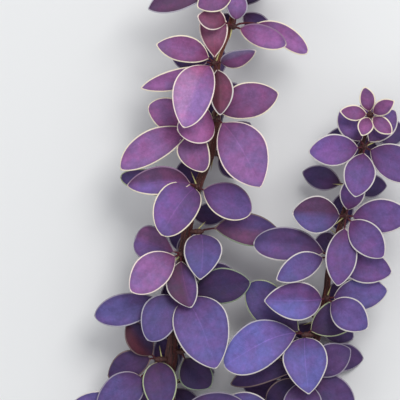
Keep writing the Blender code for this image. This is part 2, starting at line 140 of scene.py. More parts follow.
def round_bar(mesh, stations, sides, cell, relief=None):
    """Adds a closed round bar through its stations: a grid wrapped round and welded. Its
    straightened place in mm goes with it, and its skin is laid out in a cell of the map."""
    straight = mesh.verts.layers.float_vector.get("bar_place")
    chart = mesh.loops.layers.uv.get("OFBake")
    made = bmesh.ops.create_grid(mesh, x_segments=sides, y_segments=len(stations) - 1, size=1)
    spots = {}
    for vertex in made["verts"]:
        i = round((vertex.co.x + 1) / 2 * sides)
        j = round((vertex.co.y + 1) / 2 * (len(stations) - 1))
        place, axes, radius, run = stations[j]
        angle = math.tau * (i % sides) / sides
        if relief:
            radius *= 1 + relief(run, angle)
        ring = Vector((math.cos(angle), math.sin(angle), 0)) * radius
        vertex.co = place + axes @ ring
        vertex[straight] = (ring.x / MM, ring.y / MM, run)
        spots[vertex] = (i / sides, j / (len(stations) - 1))
    left, low, right, high = cell
    faces = {face for vertex in made["verts"] for face in vertex.link_faces}
    for face in faces:
        face.smooth = True
        for loop in face.loops:
            u, v = spots[loop.vert]
            loop[chart].uv = (left + (right - left) * u, low + (high - low) * v)
    bmesh.ops.remove_doubles(mesh, verts=made["verts"], dist=WELD)


def bar_mesh():
    """An empty mesh that can hold round bars."""
    mesh = bmesh.new()
    mesh.verts.layers.float_vector.new("bar_place")
    mesh.loops.layers.uv.new("OFBake")
    return mesh


def piece(name, mesh, slot, nodes, *materials):
    """A piece of the branch from a mesh, told to the frame."""
    bmesh.ops.recalc_face_normals(mesh, faces=mesh.faces[:])
    data = bpy.data.meshes.new(name)
    mesh.to_mesh(data)
    mesh.free()
    made = bpy.data.objects.new(name, data)
    bpy.context.scene.collection.objects.link(made)
    for material in materials:
        data.materials.append(material)
    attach(made, "root")
    if nodes:
        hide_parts(*nodes)
    return made


def node(tree, kind, settings=None, inputs=None):
    """A shader node with its settings, its inputs set to values or linked to other nodes."""
    made = tree.nodes.new("ShaderNode" + kind)
    for key, value in (settings or {}).items():
        setattr(made, key, value)
    for key, value in (inputs or {}).items():
        if isinstance(value, bpy.types.NodeSocket):
            tree.links.new(value, made.inputs[key])
        else:
            made.inputs[key].default_value = value
    return made


def speckle(tree, where, scale, detail, rough=0.5):
    """Grey noise at a scale, on given coordinates."""
    inputs = {"Vector": where, "Scale": scale, "Detail": detail, "Roughness": rough}
    return node(tree, "TexNoise", {}, inputs).outputs["Fac"]


def spread(tree, value, low, high, to_low, to_high):
    """A value carried smoothly from one range to another, and held at its ends."""
    inputs = {"Value": value, "From Min": low, "From Max": high, "To Min": to_low, "To Max": to_high}
    settings = {"interpolation_type": "SMOOTHSTEP"}
    return node(tree, "MapRange", settings, inputs).outputs["Result"]


def sum_of(tree, how, a, b):
    """Two values put together by a sum: ADD, SUBTRACT, MULTIPLY, and so on."""
    return node(tree, "Math", {"operation": how}, {0: a, 1: b}).outputs[0]


def blend(tree, share, a, b, how="MIX"):
    """Two colours blended by a share."""
    inputs = {0: share, 6: a, 7: b}
    settings = {"data_type": "RGBA", "blend_type": how}
    return node(tree, "Mix", settings, inputs).outputs[2]


def stretched(tree, where, across, along):
    """Coordinates scaled across and along a bar or a blade."""
    return node(tree, "Mapping", {}, {"Vector": where, "Scale": (across, across, along)}).outputs[0]


def new_material(name):
    """An empty material with its shader."""
    made = bpy.data.materials.new(name)
    made.use_nodes = True
    return made, made.node_tree, made.node_tree.nodes["Principled BSDF"]


def finish_material(tree, shader, colour, roughness, height, depth):
    """Links a material's colour, roughness and relief to its shader."""
    tree.links.new(colour, shader.inputs["Base Color"])
    tree.links.new(roughness, shader.inputs["Roughness"])
    bump = node(tree, "Bump", {}, {"Height": height, "Strength": 1.0, "Distance": depth})
    tree.links.new(bump.outputs[0], shader.inputs["Normal"])


def tone(red, green, blue):
    """A colour from the three values that a screen shows, 0 to 255."""
    def linear(v):
        v /= 255
        return v / 12.92 if v <= 0.04045 else ((v + 0.055) / 1.055) ** 2.4
    return (linear(red), linear(green), linear(blue), 1)


def bark_material():
    """Maroon bark with darker furrows, tan patches painted as highlights, and small pale pores."""
    furrow, ridge, painted_highlight = tone(32, 12, 14), tone(82, 26, 24), tone(122, 54, 40)
    young, pale = tone(136, 68, 46), tone(156, 112, 84)
    made, tree, shader = new_material("barberry_bark")
    place = node(tree, "Attribute", {"attribute_name": "bar_place"}).outputs["Vector"]
    streak = speckle(tree, stretched(tree, place, 2.6, 0.16), 1.0, 5, 0.6)
    patch = speckle(tree, stretched(tree, place, 0.5, 0.12), 1.0, 3)
    pore = speckle(tree, stretched(tree, place, 3.4, 1.5), 1.0, 1)
    colour = blend(tree, spread(tree, streak, 0.36, 0.64, 0, 1), furrow, ridge)
    # Tan patches laid over the bark: painted highlights.
    colour = blend(tree, spread(tree, patch, 0.52, 0.7, 0, 0.6), colour, painted_highlight)
    run = node(tree, "SeparateXYZ", {}, {0: place}).outputs["Z"]
    colour = blend(tree, spread(tree, run, *YOUNG_RUN, 0, 0.55), colour, young)
    pores = spread(tree, pore, 0.66, 0.72, 0, 0.65)
    colour = blend(tree, pores, colour, pale)
    dull = spread(tree, streak, 0.3, 0.7, 0.62, 0.45)
    finish_material(tree, shader, colour, dull, sum_of(tree, "ADD", streak, pores), BARK_RELIEF)
    shader.inputs["Specular IOR Level"].default_value = 0.4
    return made


def cut_wood_material():
    """Yellow barberry wood cut across: a pale pith, fine rays and a green rim under the bark."""
    made, tree, shader = new_material("cut_wood")
    place = node(tree, "Attribute", {"attribute_name": "bar_place"}).outputs["Vector"]
    flat = node(tree, "VectorMath", {"operation": "MULTIPLY"}, {0: place, 1: (1, 1, 0)}).outputs[0]
    out = node(tree, "VectorMath", {"operation": "LENGTH"}, {0: flat}).outputs["Value"]
    grain = speckle(tree, flat, 6.0, 4, 0.6)
    yellow, light, pith, green = (
        tone(206, 184, 92), tone(226, 210, 132), tone(236, 230, 206), tone(138, 142, 66)
    )
    colour = blend(tree, spread(tree, grain, 0.3, 0.7, 0, 1), yellow, light)
    colour = blend(tree, spread(tree, out, *PITH_EDGE, 1, 0), colour, pith)
    colour = blend(tree, spread(tree, out, *GREEN_RIM, 0, 1), colour, green)
    dull = spread(tree, grain, 0.3, 0.7, 0.7, 0.85)
    finish_material(tree, shader, colour, dull, grain, CUT_RELIEF)
    return made


def shoot(name, knots, bud_heights, cut):
    """One shoot with its ridges and knobs, from its cut or hidden foot to its rounded tip."""
    points = limb_curve(knots, BARK_STEPS)
    stations = stations_along(points)
    place, axes, radius, run = stations[0]
    if cut:
        foot = [(place, axes, radius * share, run) for share in CUT_RINGS]
    else:
        foot = [
            (place - axes @ Vector((0, 0, back * MM)), axes, radius * share, run - back)
            for back, share in COLLAR
        ]
    place, axes, radius, run = stations[-1]
    tip = [
        (place + axes @ Vector((0, 0, radius * ahead)), axes, radius * share, run)
        for ahead, share in ROUND_TIP
    ]
    buds = []
    for height in bud_heights:
        level = height * MM + BRANCH_PLACE.y
        nearest = min(stations, key=lambda station: abs(station[0].y - level))
        buds.append(nearest[3])

    def relief(run, angle):
        """Ridges that wind slowly round the shoot, knobbly bark, and a swelling at each spur."""
        ridge = RIDGE_DEPTH * math.cos(RIDGES * (angle + RIDGE_TWIST * run))
        round_it, along = KNOBS
        rough = Vector((math.cos(angle) * round_it, math.sin(angle) * round_it, run * along))
        swell = sum(math.exp(-((run - bud) / BUD_SWELLING_LENGTH) ** 2) for bud in buds)
        return ridge + KNOBBLE * noise.noise(rough) + BUD_SWELLING * swell

    mesh = bar_mesh()
    round_bar(mesh, foot + stations + tip, BARK_SIDES, WHOLE_MAP, relief)
    if cut:
        for face in mesh.faces:
            if face.calc_center_median().y < points[0][0].y + CUT_SLACK:
                face.material_index = 1
                face.smooth = False
    return piece(name, mesh, "bark", [name], bark, cut_wood)


# The leaves' plan. A barberry leaf cluster sits on the end of a spur 2 to 4 mm long, one spur
# at every joint of the shoot. The plan is the solids' own but for two spines: each leaf is
# set out by its bearing, size and lift, and tilted until it is clear of limbs and leaves.
LEAF_THICKNESS = 0.4 * MM
STALK_WIDTH = 1.0 * MM
TIP_WIDTH = 0.6 * MM
WIDEST_AT = 0.5  # usual share of the blade's length where it is widest
TIP_BLUNTNESS = 0.74  # usual power of the outline at the tip, lower for a blunter one
BOW_EARLY = 0.7  # power of the share along, so that a bow is greatest over a third of the way
FOLD_SOFTNESS = 0.1  # share of the width over which the fold along the midrib is rounded
BLADE_ROWS = (0.16, 0.38, 0.6, 0.8, 0.93, 1.0)  # where a plate's cross rows lie on the blade
BACK_BLADE_ROWS = (0.3, 0.62, 0.88, 1.0)

SPUR_ROOT_RADIUS = 0.75 * MM
SPUR_TIP_RADIUS = 1.1 * MM
SPUR_PAST_HUB = 0.6 * MM
SPUR_SIDES = 8

SPINE_LENGTHS = (4.5 * MM, 7 * MM)
SPINE_RADIUS = 0.3 * MM
SPINE_TIP_RADIUS = 0.08 * MM
SPINE_SIDES = 5
SPINE_AT = 0.45  # share of the spur's length where its spine grows
SPINE_BEARINGS = 12  # directions that are tried
SPINE_LIFT = 12
SPINE_SEED = 7
SEEN_SPINES = {"main_6": 338, "main_11": 350}  # bearings of those that the photograph shows

LIMB_SIDES = 8
CLEARANCE_THICKNESS = 0.85 * MM  # leaves keep this plate round their middle surface free
CLEARANCE_MARGIN = 0.4 * MM
CROWDED_PART = 0.3  # share of a leaf near its hub that may touch leaves of its own cluster
TILT_TRIES = (0, -4, -8, -12, -16, 4, 8, -20, 12, -24, 16, 20, -30, 26, 32, -36, 40, 48, 56)


@dataclass(frozen=True)
class Leaf:
    """One leaf: compass bearing of its axis seen from above, 0 along +Y and 90 along +X, in
    degrees; length from hub to tip and width in mm; lift of the tip over the hub, bend along
    the blade and roll about its axis in degrees; stalk in mm; fold of the halves as a slope; bow of
    the axis to the right, in mm; skew, the share by which the right half is wider and the left
    one narrower; where the blade is widest; its tip's bluntness; and where its plate's cross
    rows lie, all three as told above for the usual leaf. Then its looks: the blade's
    tint, its left half's where that differs and how far across the two meet, how light it is,
    the margin's tint, its left side's where that differs, and how clear the pale midrib is.
    The two halves' tints are partly the leaf's own colour and partly painted light and shade,
    one half lighter where the fold turns it to the light. How light it is holds the leaf's own
    tone together with painted shade, darker where the leaf lies low or deep among the others,
    and on a few leaves painted light."""

    bearing: float
    length: float
    width: float
    lift: float = 15
    bend: float = -14
    roll: float = 0
    stalk: float = 2.5
    fold: float = 0.16
    bow: float = 0
    skew: float = 0
    widest: float = WIDEST_AT
    tip: float = TIP_BLUNTNESS
    rows: tuple = BLADE_ROWS
    tint: str = ""
    left: str = ""
    split: float = 0
    light: float = 1.0
    rim: str = ""
    left_rim: str = ""
    rib: float = 0.2


@dataclass(frozen=True)
class Cluster:
    """Leaves round the end of one short spur: the limb it sits on, the height along +Y, and
    the hub's offset from the limb's axis along x and z, all in mm; and the leaves' usual
    tint."""

    name: str
    limb: str
    height: float
    side: float
    front: float
    leaves: tuple
    tint: str = "dusk"


YOUNG_LEAVES = 5
YOUNG_LIFTS = (38, 29)
YOUNG_SHORTER = 0.8


def young_leaves(length, width, first):
    """Small leaves spread evenly round a shoot's tip, steep and flatter ones by turns."""
    return tuple(
        Leaf(
            bearing=first + 360 * i / YOUNG_LEAVES,
            length=length - YOUNG_SHORTER * (i % 3),
            width=width,
            lift=YOUNG_LIFTS[i % 2],
            stalk=1.5,
        )
        for i in range(YOUNG_LEAVES)
    )


MAIN_CLUSTERS = (
    Cluster("main_tip", "main_stem", 97, 0.2, 1.9, young_leaves(10.5, 5, 20), "rosewood"),
    Cluster("main_1", "main_stem", 89, 0.2, 3.2, (
        Leaf(256, 31.5, 10.5, 12, stalk=6.5, bow=3.0, tint="wine", light=0.92, rim="pearl"),
        Leaf(243, 16.5, 9.4, 26, stalk=2, light=0.9),
        Leaf(318, 17.0, 8.5, -8),
        Leaf(84, 20.0, 9.5, 14),
    ), "plum"),
    Cluster("main_2", "main_stem", 76, 1.3, 3.3, (
        Leaf(110, 19.6, 8.0, 15, widest=0.52, tip=0.6, tint="orchid", light=0.98, left_rim="faint"),
        Leaf(285.5, 14.2, 7.6, 34, stalk=3.5, bow=0.4, tint="rosewood", light=0.84),
        Leaf(4, 12.0, 7.4, 8, roll=12, bow=0.5, tip=0.55, tint="lilac", light=0.74, rim="pearl"),
        Leaf(109, 26.8, 7.4, -2, stalk=7, bow=-3.6, widest=0.58, tip=0.55, tint="orchid", light=0.96),
    ), "plum"),
    Cluster("main_3", "main_stem", 63.5, -1.2, 3.5, (
        Leaf(
            205.5, 27.8, 14.1, 28, bend=-20, stalk=2, fold=0.26, bow=2.4, tip=0.68,
            tint="rose", left="lilac", light=0.97,
        ),
        Leaf(287.5, 21.6, 9.2, 18, bow=1.7, light=0.98),
        # Its left part carries a painted reflection: a bluish sheen where that half is turned to the
        # light.
        Leaf(
            74, 15.7, 7.2, 20, roll=35, bow=0.4, widest=0.42,
            left="painted_sheen", split=-0.4, light=0.8, left_rim="mauve",
        ),
        Leaf(358, 17.4, 9.8, 3, stalk=2, bow=0.3, widest=0.64, tip=0.5, tint="rosewood", light=1.1),
        Leaf(
            173.5, 18.4, 8.3, 14, roll=-10, fold=0.5, bow=-1.2,
            tint="garnet", left="rosewood", light=0.84,
        ),
        Leaf(251, 26.4, 7.0, 4, bow=-1.2, tint="orchid", light=0.9),
        Leaf(279, 15.0, 8.0, -14, tint="dusk"),
    ), "plum"),
    Cluster("main_4", "main_stem", 44.5, 0.0, 3.6, (
        Leaf(253, 16.0, 13.4, 30, stalk=1.5, widest=0.44, tip=0.6, light=1.25, rim="blush"),
        Leaf(147, 29.8, 17.0, 22, bow=-1.7, tip=0.8, tint="lilac", light=0.84, rib=0.5),
        Leaf(67, 23.0, 12.6, 6, bow=-1.9, light=0.9),
    ), "plum"),
    Cluster("main_5", "main_stem", 43.5, -4.4, 2.2, (
        Leaf(240, 32.9, 11.0, 10, stalk=5, skew=0.3, widest=0.56, tip=0.68, tint="orchid", light=0.96),
        Leaf(181.5, 17.5, 11.2, 12, bow=1.8, skew=0.3, widest=0.56, tip=0.56, light=0.95),
        Leaf(286, 19.6, 11.6, 2, bow=-0.9, tip=0.66, light=1.25),
    ), "plum"),
    Cluster("main_6", "main_stem", 21.5, -0.2, 3.6, (
        Leaf(
            271, 24.4, 9.9, 13, fold=0.3, bow=1.6, skew=0.1,
            tint="wine", left="amethyst", light=0.95, rim="faint", left_rim="cream", rib=0.5,
        ),
        Leaf(
            217, 22.3, 15.2, 24, stalk=1, bow=1.2, skew=0.07, widest=0.46, tip=0.55,
            tint="amethyst", left="heather", rib=0.8,
        ),
        Leaf(
            117, 20.9, 12.2, 12, skew=-0.1, widest=0.55, tip=0.62,
            light=0.96, rim="cream", left_rim="faint",
        ),
        Leaf(277.5, 26.6, 8.6, -6, bow=-0.6, tip=0.5, tint="dusk", light=1.1, rim="moss"),
    ), "heather"),
    Cluster("main_7", "main_stem", 6.2, 4.5, 2.4, (
        Leaf(179.5, 17.6, 13.1, 22, stalk=1, bow=-1.0, widest=0.38, tip=0.85, light=0.88, rib=0.7),
        Leaf(
            92, 28.4, 11.2, -4, stalk=5, bow=-1.7, tip=0.9,
            tint="wine", left="dusk", light=1.1, rim="sage", left_rim="bronze",
        ),
    ), "violet"),
    Cluster("main_8", "main_stem", -1.5, -0.6, 3.6, (
        Leaf(234, 23.2, 12.5, 24, bow=1.1, skew=0.05, widest=0.53, tip=0.66, tint="lilac", light=0.9),
        Leaf(169.5, 18.9, 10.6, 13, bow=0.8, skew=0.2, left="heather", light=0.84, rib=0.7),
        Leaf(290.5, 16.9, 11.8, 4, widest=0.68, tip=0.5, left="dusk", light=1.65, rim="mauve"),
    ), "wine"),
    Cluster("main_9", "main_stem", -15.7, 1.6, 3.4, (
        Leaf(155, 28.6, 19.0, 20, stalk=1.5, bow=-1.5, widest=0.42, light=1.06, rib=0.6),
        Leaf(219.5, 19.8, 13.0, 14, stalk=2, bow=2.0, tip=0.62, light=0.76, rim="pearl"),
        Leaf(
            257, 31.0, 11.1, 2, stalk=8, widest=0.56, tip=0.62,
            light=0.9, rim="mauve", left_rim="pearl",
        ),
        Leaf(78.6, 23.6, 12.4, 2, stalk=4, bow=-0.9, tint="shade", light=0.85),
    ), "violet"),
    Cluster("main_10", "main_stem", -34.7, 3.4, 1.6, (
        Leaf(141.5, 15.7, 11.2, 4, bow=0.9, skew=0.1, light=0.75),
        Leaf(84, 17.0, 9.0, -6, light=0.8),
    ), "shade"),
    Cluster("main_11", "main_stem", -37.4, -4.4, 2.2, (
        Leaf(175.5, 18.8, 11.8, 14, stalk=1, widest=0.42, light=0.9, rim="moss"),
        Leaf(
            231, 27.0, 12.6, 14, stalk=8.5, bow=-1.0, widest=0.42,
            tint="violet", light=0.75, rim="mauve",
        ),
        Leaf(251, 18.2, 10.2, -4, bow=1.6, light=0.75, rim="bronze"),
        Leaf(322, 16.8, 9.0, 8, bow=-1.0, tint="shade", left="garnet", light=0.86, rim="bronze"),
    ), "dusk"),
    Cluster("main_12", "main_stem", -56, -2.6, 3.2, (
        Leaf(277, 32.5, 10.5, 6, stalk=12),
        Leaf(81, 27.0, 10.0, 10, stalk=6, tint="dusk"),
        Leaf(158, 20.0, 11.6, 14),
        Leaf(214, 22.0, 12.6, 12),
    ), "violet"),
)
RIGHT_CLUSTERS = (
    Cluster("right_tip", "right_shoot", 46, 0.3, 1.9, young_leaves(11.5, 5.5, 60), "plum"),
    Cluster("right_1", "right_shoot", 35, 0.8, 3.2, (
        Leaf(264.5, 20.0, 11.0, 15, tint="amethyst", light=0.9, rim="silver"),
        Leaf(192, 19.0, 11.0, 24),
        Leaf(118, 23.3, 12.6, 16),
        Leaf(40, 17.0, 9.0, 16),
        Leaf(328, 15.5, 8.8, 20),
    ), "heather"),
    Cluster("right_2", "right_shoot", 11.5, 0.8, 3.4, (
        Leaf(273, 19.4, 13.0, 18, tint="wine", left="violet", light=0.8),
        Leaf(138, 20.0, 11.0, 20),
        Leaf(187, 24.6, 10.8, 14, stalk=4.5),
        Leaf(90, 22.5, 12.0, 13),
        Leaf(15, 15.5, 8.6, 18),
    ), "heather"),
    Cluster("right_3", "right_shoot", -2.4, -0.8, 3.4, (
        Leaf(247.5, 21.7, 9.2, 24, bow=1.0, tint="violet", light=0.96),
        Leaf(
            281, 26.8, 11.8, 9, bow=1.9, widest=0.58, tip=0.55,
            tint="dusk", left="heather", light=0.9, left_rim="silver",
        ),
        Leaf(104, 22.0, 12.0, 8),
    ), "heather"),
    Cluster("right_4", "right_shoot", -16.5, 0.3, 3.6, (
        Leaf(
            268.4, 22.4, 13.4, 17, stalk=2, fold=0.3, bow=-0.5, widest=0.45, tip=0.8,
            tint="heather", left="blue_violet", rib=0.8,
        ),
        Leaf(126, 19.5, 11.4, 30),
        Leaf(82, 21.0, 11.6, 14),
    ), "violet"),
    Cluster("right_5", "right_shoot", -29, -4.4, 3.0, (
        Leaf(
            249.5, 30.8, 16.4, 20, stalk=3, bow=3.0, widest=0.56, tip=0.62,
            light=0.94, rim="pearl", left_rim="silver", rib=0.9,
        ),
        Leaf(177, 21.2, 15.3, 20, stalk=1, bow=0.5, widest=0.4, tip=0.85, light=0.84, rib=0.8),
        Leaf(63, 21.4, 12.0, 2, bow=-0.5, tint="dusk", light=0.68, rim="moss"),
        Leaf(
            312, 26.0, 13.8, -4, bow=-0.9, widest=0.58, tip=0.6,
            tint="violet", light=0.76, rim="moss",
        ),
    ), "blue_violet"),
    Cluster("right_6", "right_shoot", -42.5, -1.2, 3.3, (
        Leaf(180, 18.0, 13.4, 9),
        Leaf(62, 18.6, 11.4, 8),
        Leaf(262, 25.0, 8.6, -6, bow=3.4, tint="shade", rim="bronze"),
        Leaf(228, 17.0, 8.6, -14, tint="shade", light=0.7, rim="bronze"),
        Leaf(122, 21.0, 12.0, 12),
    ), "dusk"),
    Cluster("right_7", "right_shoot", -56.5, -0.6, 3.4, (
        Leaf(281, 20.6, 12.0, 11),
        Leaf(178, 19.5, 11.6, 16),
        Leaf(112, 20.0, 11.4, 12),
    ), "violet"),
)

# Clusters on the limbs' undersides follow a seeded rule: heights in mm, then the sizes
BACK_HEIGHTS = {
    "main_stem": (82, 56, 33, 12, -8, -26, -46),
    "right_shoot": (40, 22, 4, -24, -36, -50),
}
BACK_LEAVES = 4
BACK_LENGTHS = (14, 19)
BACK_SLENDERNESS = 0.52  # width over length
BACK_HUB_DROP = 3.2
BACK_HUB_SWAY = 1.6
BACK_LIFTS = (-52, -6)
BACK_BENDS = (8, 26)
BACK_BEARING_SWAY = 14
BACK_ROLL = 16
# Lightness of the back leaves: darker, painted shade for leaves that lie under the limbs.
BACK_PAINTED_SHADE = 0.85
BACK_SEED = 41


def limb_at(points, height):
    """Place, direction and radius of a limb where its axis passes a height along +Y."""
    level = height * MM + BRANCH_PLACE.y
    for (a, radius_a), (b, radius_b) in zip(points, points[1:]):
        if level <= b.y:
            t = (level - a.y) / (b.y - a.y)
            break
    return a.lerp(b, t), (b - a).normalized(), radius_a + (radius_b - radius_a) * t


def leaf_half_width(leaf, along, side):
    """Width of a leaf's right or left half at a share of its length: stalk, then blade."""
    blade_start = leaf.stalk / leaf.length
    u = (along - blade_start) / (1 - blade_start)
    if u <= 0:
        return STALK_WIDTH / 2
    rise = leaf.tip * leaf.widest / (1 - leaf.widest)
    highest = leaf.widest**rise * (1 - leaf.widest)**leaf.tip
    outline = u**rise * max(1 - u, 0)**leaf.tip / highest
    half = leaf.width * MM / 2 * outline * (1 + leaf.skew * math.copysign(1, side))
    return max(half, (TIP_WIDTH if u > leaf.widest else STALK_WIDTH) / 2)


def leaf_point(leaf, along, side, margin):
    """Point of a leaf's middle surface: along is 0 at the hub and 1 at the tip, side runs from
    -1 to 1 across, and margin widens the outline. The axis lies on +Y and the face on +Z."""
    bend = math.radians(leaf.bend)
    turn = bend * (along - 0.5)
    reach = leaf.length * MM / bend
    x = side * (leaf_half_width(leaf, along, side) + margin)
    sway = leaf.bow * MM * math.sin(math.pi * along**BOW_EARLY)
    soft = FOLD_SOFTNESS * leaf.width * MM
    rise = leaf.fold * (math.hypot(x, soft) - soft)
    y = reach * (math.sin(turn) + math.sin(bend / 2)) - rise * math.sin(turn)
    z = -reach * (math.cos(turn) - math.cos(bend / 2)) + rise * math.cos(turn)
    return Vector((x + sway, y, z))


def leaf_rows(leaf, first):
    """Shares of a leaf's length where its cross rows lie, from the first one wanted."""
    blade_start = leaf.stalk / leaf.length
    rows = [0, blade_start] + [blade_start + (1 - blade_start) * row for row in leaf.rows]
    return [row for row in rows if row >= first]


def leaf_place(leaf, hub):
    """Matrix that sets a leaf's root on its hub, turned to its bearing, lift and roll."""
    turn = Matrix.Rotation(-math.radians(leaf.bearing), 4, "Z")
    tilt = Matrix.Rotation(math.radians(leaf.lift), 4, "X")
    roll = Matrix.Rotation(math.radians(leaf.roll), 4, "Y")
    return Matrix.Translation(hub) @ turn @ tilt @ roll


def leaf_plate(leaf, hub, thickness, margin=0.0, first=0.0):
    """Closed plate of a leaf, three points across, with its middle surface at half thickness."""
    rows = leaf_rows(leaf, first)
    mesh = bmesh.new()
    bmesh.ops.create_grid(mesh, x_segments=2, y_segments=len(rows) - 1, size=1)
    for vertex in mesh.verts:
        row = round((vertex.co.y + 1) / 2 * (len(rows) - 1))
        vertex.co = leaf_point(leaf, rows[row], round(vertex.co.x), margin)
    mesh.normal_update()
    for vertex in mesh.verts:
        vertex.co -= vertex.normal * thickness / 2
    bmesh.ops.solidify(mesh, geom=mesh.faces[:], thickness=-thickness)
    bmesh.ops.recalc_face_normals(mesh, faces=mesh.faces[:])
    mesh.transform(leaf_place(leaf, hub))
    return mesh


def cone(start, run, length, foot_radius, tip_radius, sides):
    """Closed cone from its start along a direction."""
    mesh = bmesh.new()
    bmesh.ops.create_cone(
        mesh, cap_ends=True, segments=sides, radius1=foot_radius, radius2=tip_radius,
        depth=length, matrix=Matrix.Translation((0, 0, length / 2)),
    )
    mesh.transform(Matrix.Translation(start) @ facing(run).to_4x4())
    return mesh


def spur_cone(foot, hub):
    """Short woody spur from its foot near the limb to just past the hub."""
    length = (hub - foot).length + SPUR_PAST_HUB
    return cone(foot, hub - foot, length, SPUR_ROOT_RADIUS, SPUR_TIP_RADIUS, SPUR_SIDES)


def spine_run(foot, hub, bearing, lift):
    """Where a spine leaves its spur, and its direction."""
    heading = Matrix.Rotation(-math.radians(bearing), 3, "Z")
    heading @= Matrix.Rotation(math.radians(lift), 3, "X")
    return foot.lerp(hub, SPINE_AT), heading @ Vector((0, 1, 0))


def limb_tube(points):
    """Search tree of a tube that holds a limb and the gap round it."""
    outside = math.cos(math.pi / LIMB_SIDES)
    wider = [(place, (radius + GAP) / outside) for place, radius in points]
    mesh = bar_mesh()
    round_bar(mesh, stations_along(wider), LIMB_SIDES, WHOLE_MAP)
    return tree_of(mesh)


def tree_of(mesh):
    """Search tree of a mesh, which is then freed."""
    tree = BVHTree.FromBMesh(mesh)
    mesh.free()
    return tree


def over_ground(leaf, hub):
    """The leaf, raised a degree at a time until all of it lies over the ground."""
    while True:
        mesh = leaf_plate(leaf, hub, LEAF_THICKNESS)
        lowest = min(vertex.co.z for vertex in mesh.verts)
        mesh.free()
        if lowest >= 0:
            return leaf
        leaf = replace(leaf, lift=leaf.lift + 1)


def settle(leaf, cluster, hub, limbs, spurs, placed):
    """The leaf as written, or tilted by the first step that keeps it over the ground and clear
    of limbs, of other clusters' spurs and of every leaf placed before it; None where none does."""
    for tilt in TILT_TRIES:
        trial = over_ground(replace(leaf, lift=leaf.lift + tilt), hub)
        whole = tree_of(leaf_plate(trial, hub, CLEARANCE_THICKNESS, CLEARANCE_MARGIN))
        if any(whole.overlap(limb) for limb in limbs):
            continue
        if any(whole.overlap(spur) for name, spur in spurs if name != cluster.name):
            continue
        outer = tree_of(leaf_plate(
            trial, hub, CLEARANCE_THICKNESS, CLEARANCE_MARGIN, first=CROWDED_PART
        ))
        own = [other for name, _, other in placed if name == cluster.name]
        others = [other for name, other, _ in placed if name != cluster.name]
        if any(outer.overlap(other) for other in own):
            continue
        if any(whole.overlap(other) for other in others):
            continue
        placed.append((cluster.name, whole, outer))
        return trial
    return None


def settle_spine(cluster, ends, dice, limbs, spurs, placed):
    """Bearing, lift and length of a cluster's spine in the first clear direction, or None."""
    first = SEEN_SPINES.get(cluster.name, dice.uniform(0, 360))
    length = dice.uniform(*SPINE_LENGTHS)
    for i in range(SPINE_BEARINGS):
        bearing = first + 360 * i / SPINE_BEARINGS
        lift = math.copysign(SPINE_LIFT, cluster.front)
        start, run = spine_run(*ends, bearing, lift)
        radii = [radius + CLEARANCE_MARGIN for radius in (SPINE_RADIUS, SPINE_TIP_RADIUS)]
        mesh = cone(start, run, length, *radii, SPINE_SIDES)
        lowest = min(vertex.co.z for vertex in mesh.verts)
        tree = tree_of(mesh)
        others = [whole for name, whole, _ in placed if name != cluster.name]
        others += [outer for name, _, outer in placed if name == cluster.name]
        others += [spur for name, spur in spurs if name != cluster.name] + limbs
        if lowest > 0 and not any(tree.overlap(other) for other in others):
            placed.append((cluster.name + " spine", tree, tree))
            return bearing, lift, length
    return None


def back_clusters():
    """Clusters on the undersides: seeded leaves that slope down towards the ground."""
    dice = random.Random(BACK_SEED)
    clusters = []
    for limb, heights in BACK_HEIGHTS.items():
        for number, height in enumerate(heights, 1):
            first = dice.uniform(0, 360)
            leaves = []
            for i in range(BACK_LEAVES):
                length = dice.uniform(*BACK_LENGTHS)
                leaves.append(Leaf(
                    bearing=first + 360 * i / BACK_LEAVES + dice.uniform(-1, 1) * BACK_BEARING_SWAY,
                    length=length,
                    width=length * BACK_SLENDERNESS,
                    lift=dice.uniform(*BACK_LIFTS),
                    bend=dice.uniform(*BACK_BENDS),
                    roll=dice.uniform(-1, 1) * BACK_ROLL,
                    rows=BACK_BLADE_ROWS,
                    light=BACK_PAINTED_SHADE,
                ))
            side = BACK_HUB_SWAY * (1 if number % 2 else -1)
            name = limb.split("_")[0] + "_back_" + str(number)
            clusters.append(Cluster(name, limb, height, side, -BACK_HUB_DROP, tuple(leaves)))
    return tuple(clusters)


def spur_ends(cluster, limb_points):
    """Foot and hub of a cluster's spur; the foot's near edge stops short of the limb by the gap."""
    axis, direction, radius = limb_at(limb_points[cluster.limb], cluster.height)
    run = Vector((cluster.side, 0, cluster.front)) * MM
    slant = abs(run.normalized().dot(direction))
    reach = (radius + GAP + SPUR_ROOT_RADIUS * slant) / math.sqrt(1 - slant**2)
    return axis + run.normalized() * reach, axis + run


limb_points = {
    "main_stem": limb_curve(MAIN_STEM, PLAN_STEPS),
    "right_shoot": limb_curve(RIGHT_SHOOT, PLAN_STEPS),
}
clusters = MAIN_CLUSTERS + RIGHT_CLUSTERS + back_clusters()
ends = {cluster.name: spur_ends(cluster, limb_points) for cluster in clusters}
limbs = [limb_tube(points) for points in limb_points.values()]
spurs = [(name, tree_of(spur_cone(*pair))) for name, pair in ends.items()]
placed = []
settled = {}
for cluster in clusters:
    hub = ends[cluster.name][1]
    found = [settle(leaf, cluster, hub, limbs, spurs, placed) for leaf in cluster.leaves]
    settled[cluster.name] = [leaf for leaf in found if leaf]
spine_dice = random.Random(SPINE_SEED)
spines = {
    cluster.name: settle_spine(cluster, ends[cluster.name], spine_dice, limbs, spurs, placed)
    for cluster in clusters
}

bark = bark_material()
cut_wood = cut_wood_material()
for limb, knots in (("main_stem", MAIN_STEM), ("right_shoot", RIGHT_SHOOT)):
    heights = [cluster.height for cluster in clusters if cluster.limb == limb]
    shoot(limb, knots, heights, cut=limb == "main_stem")

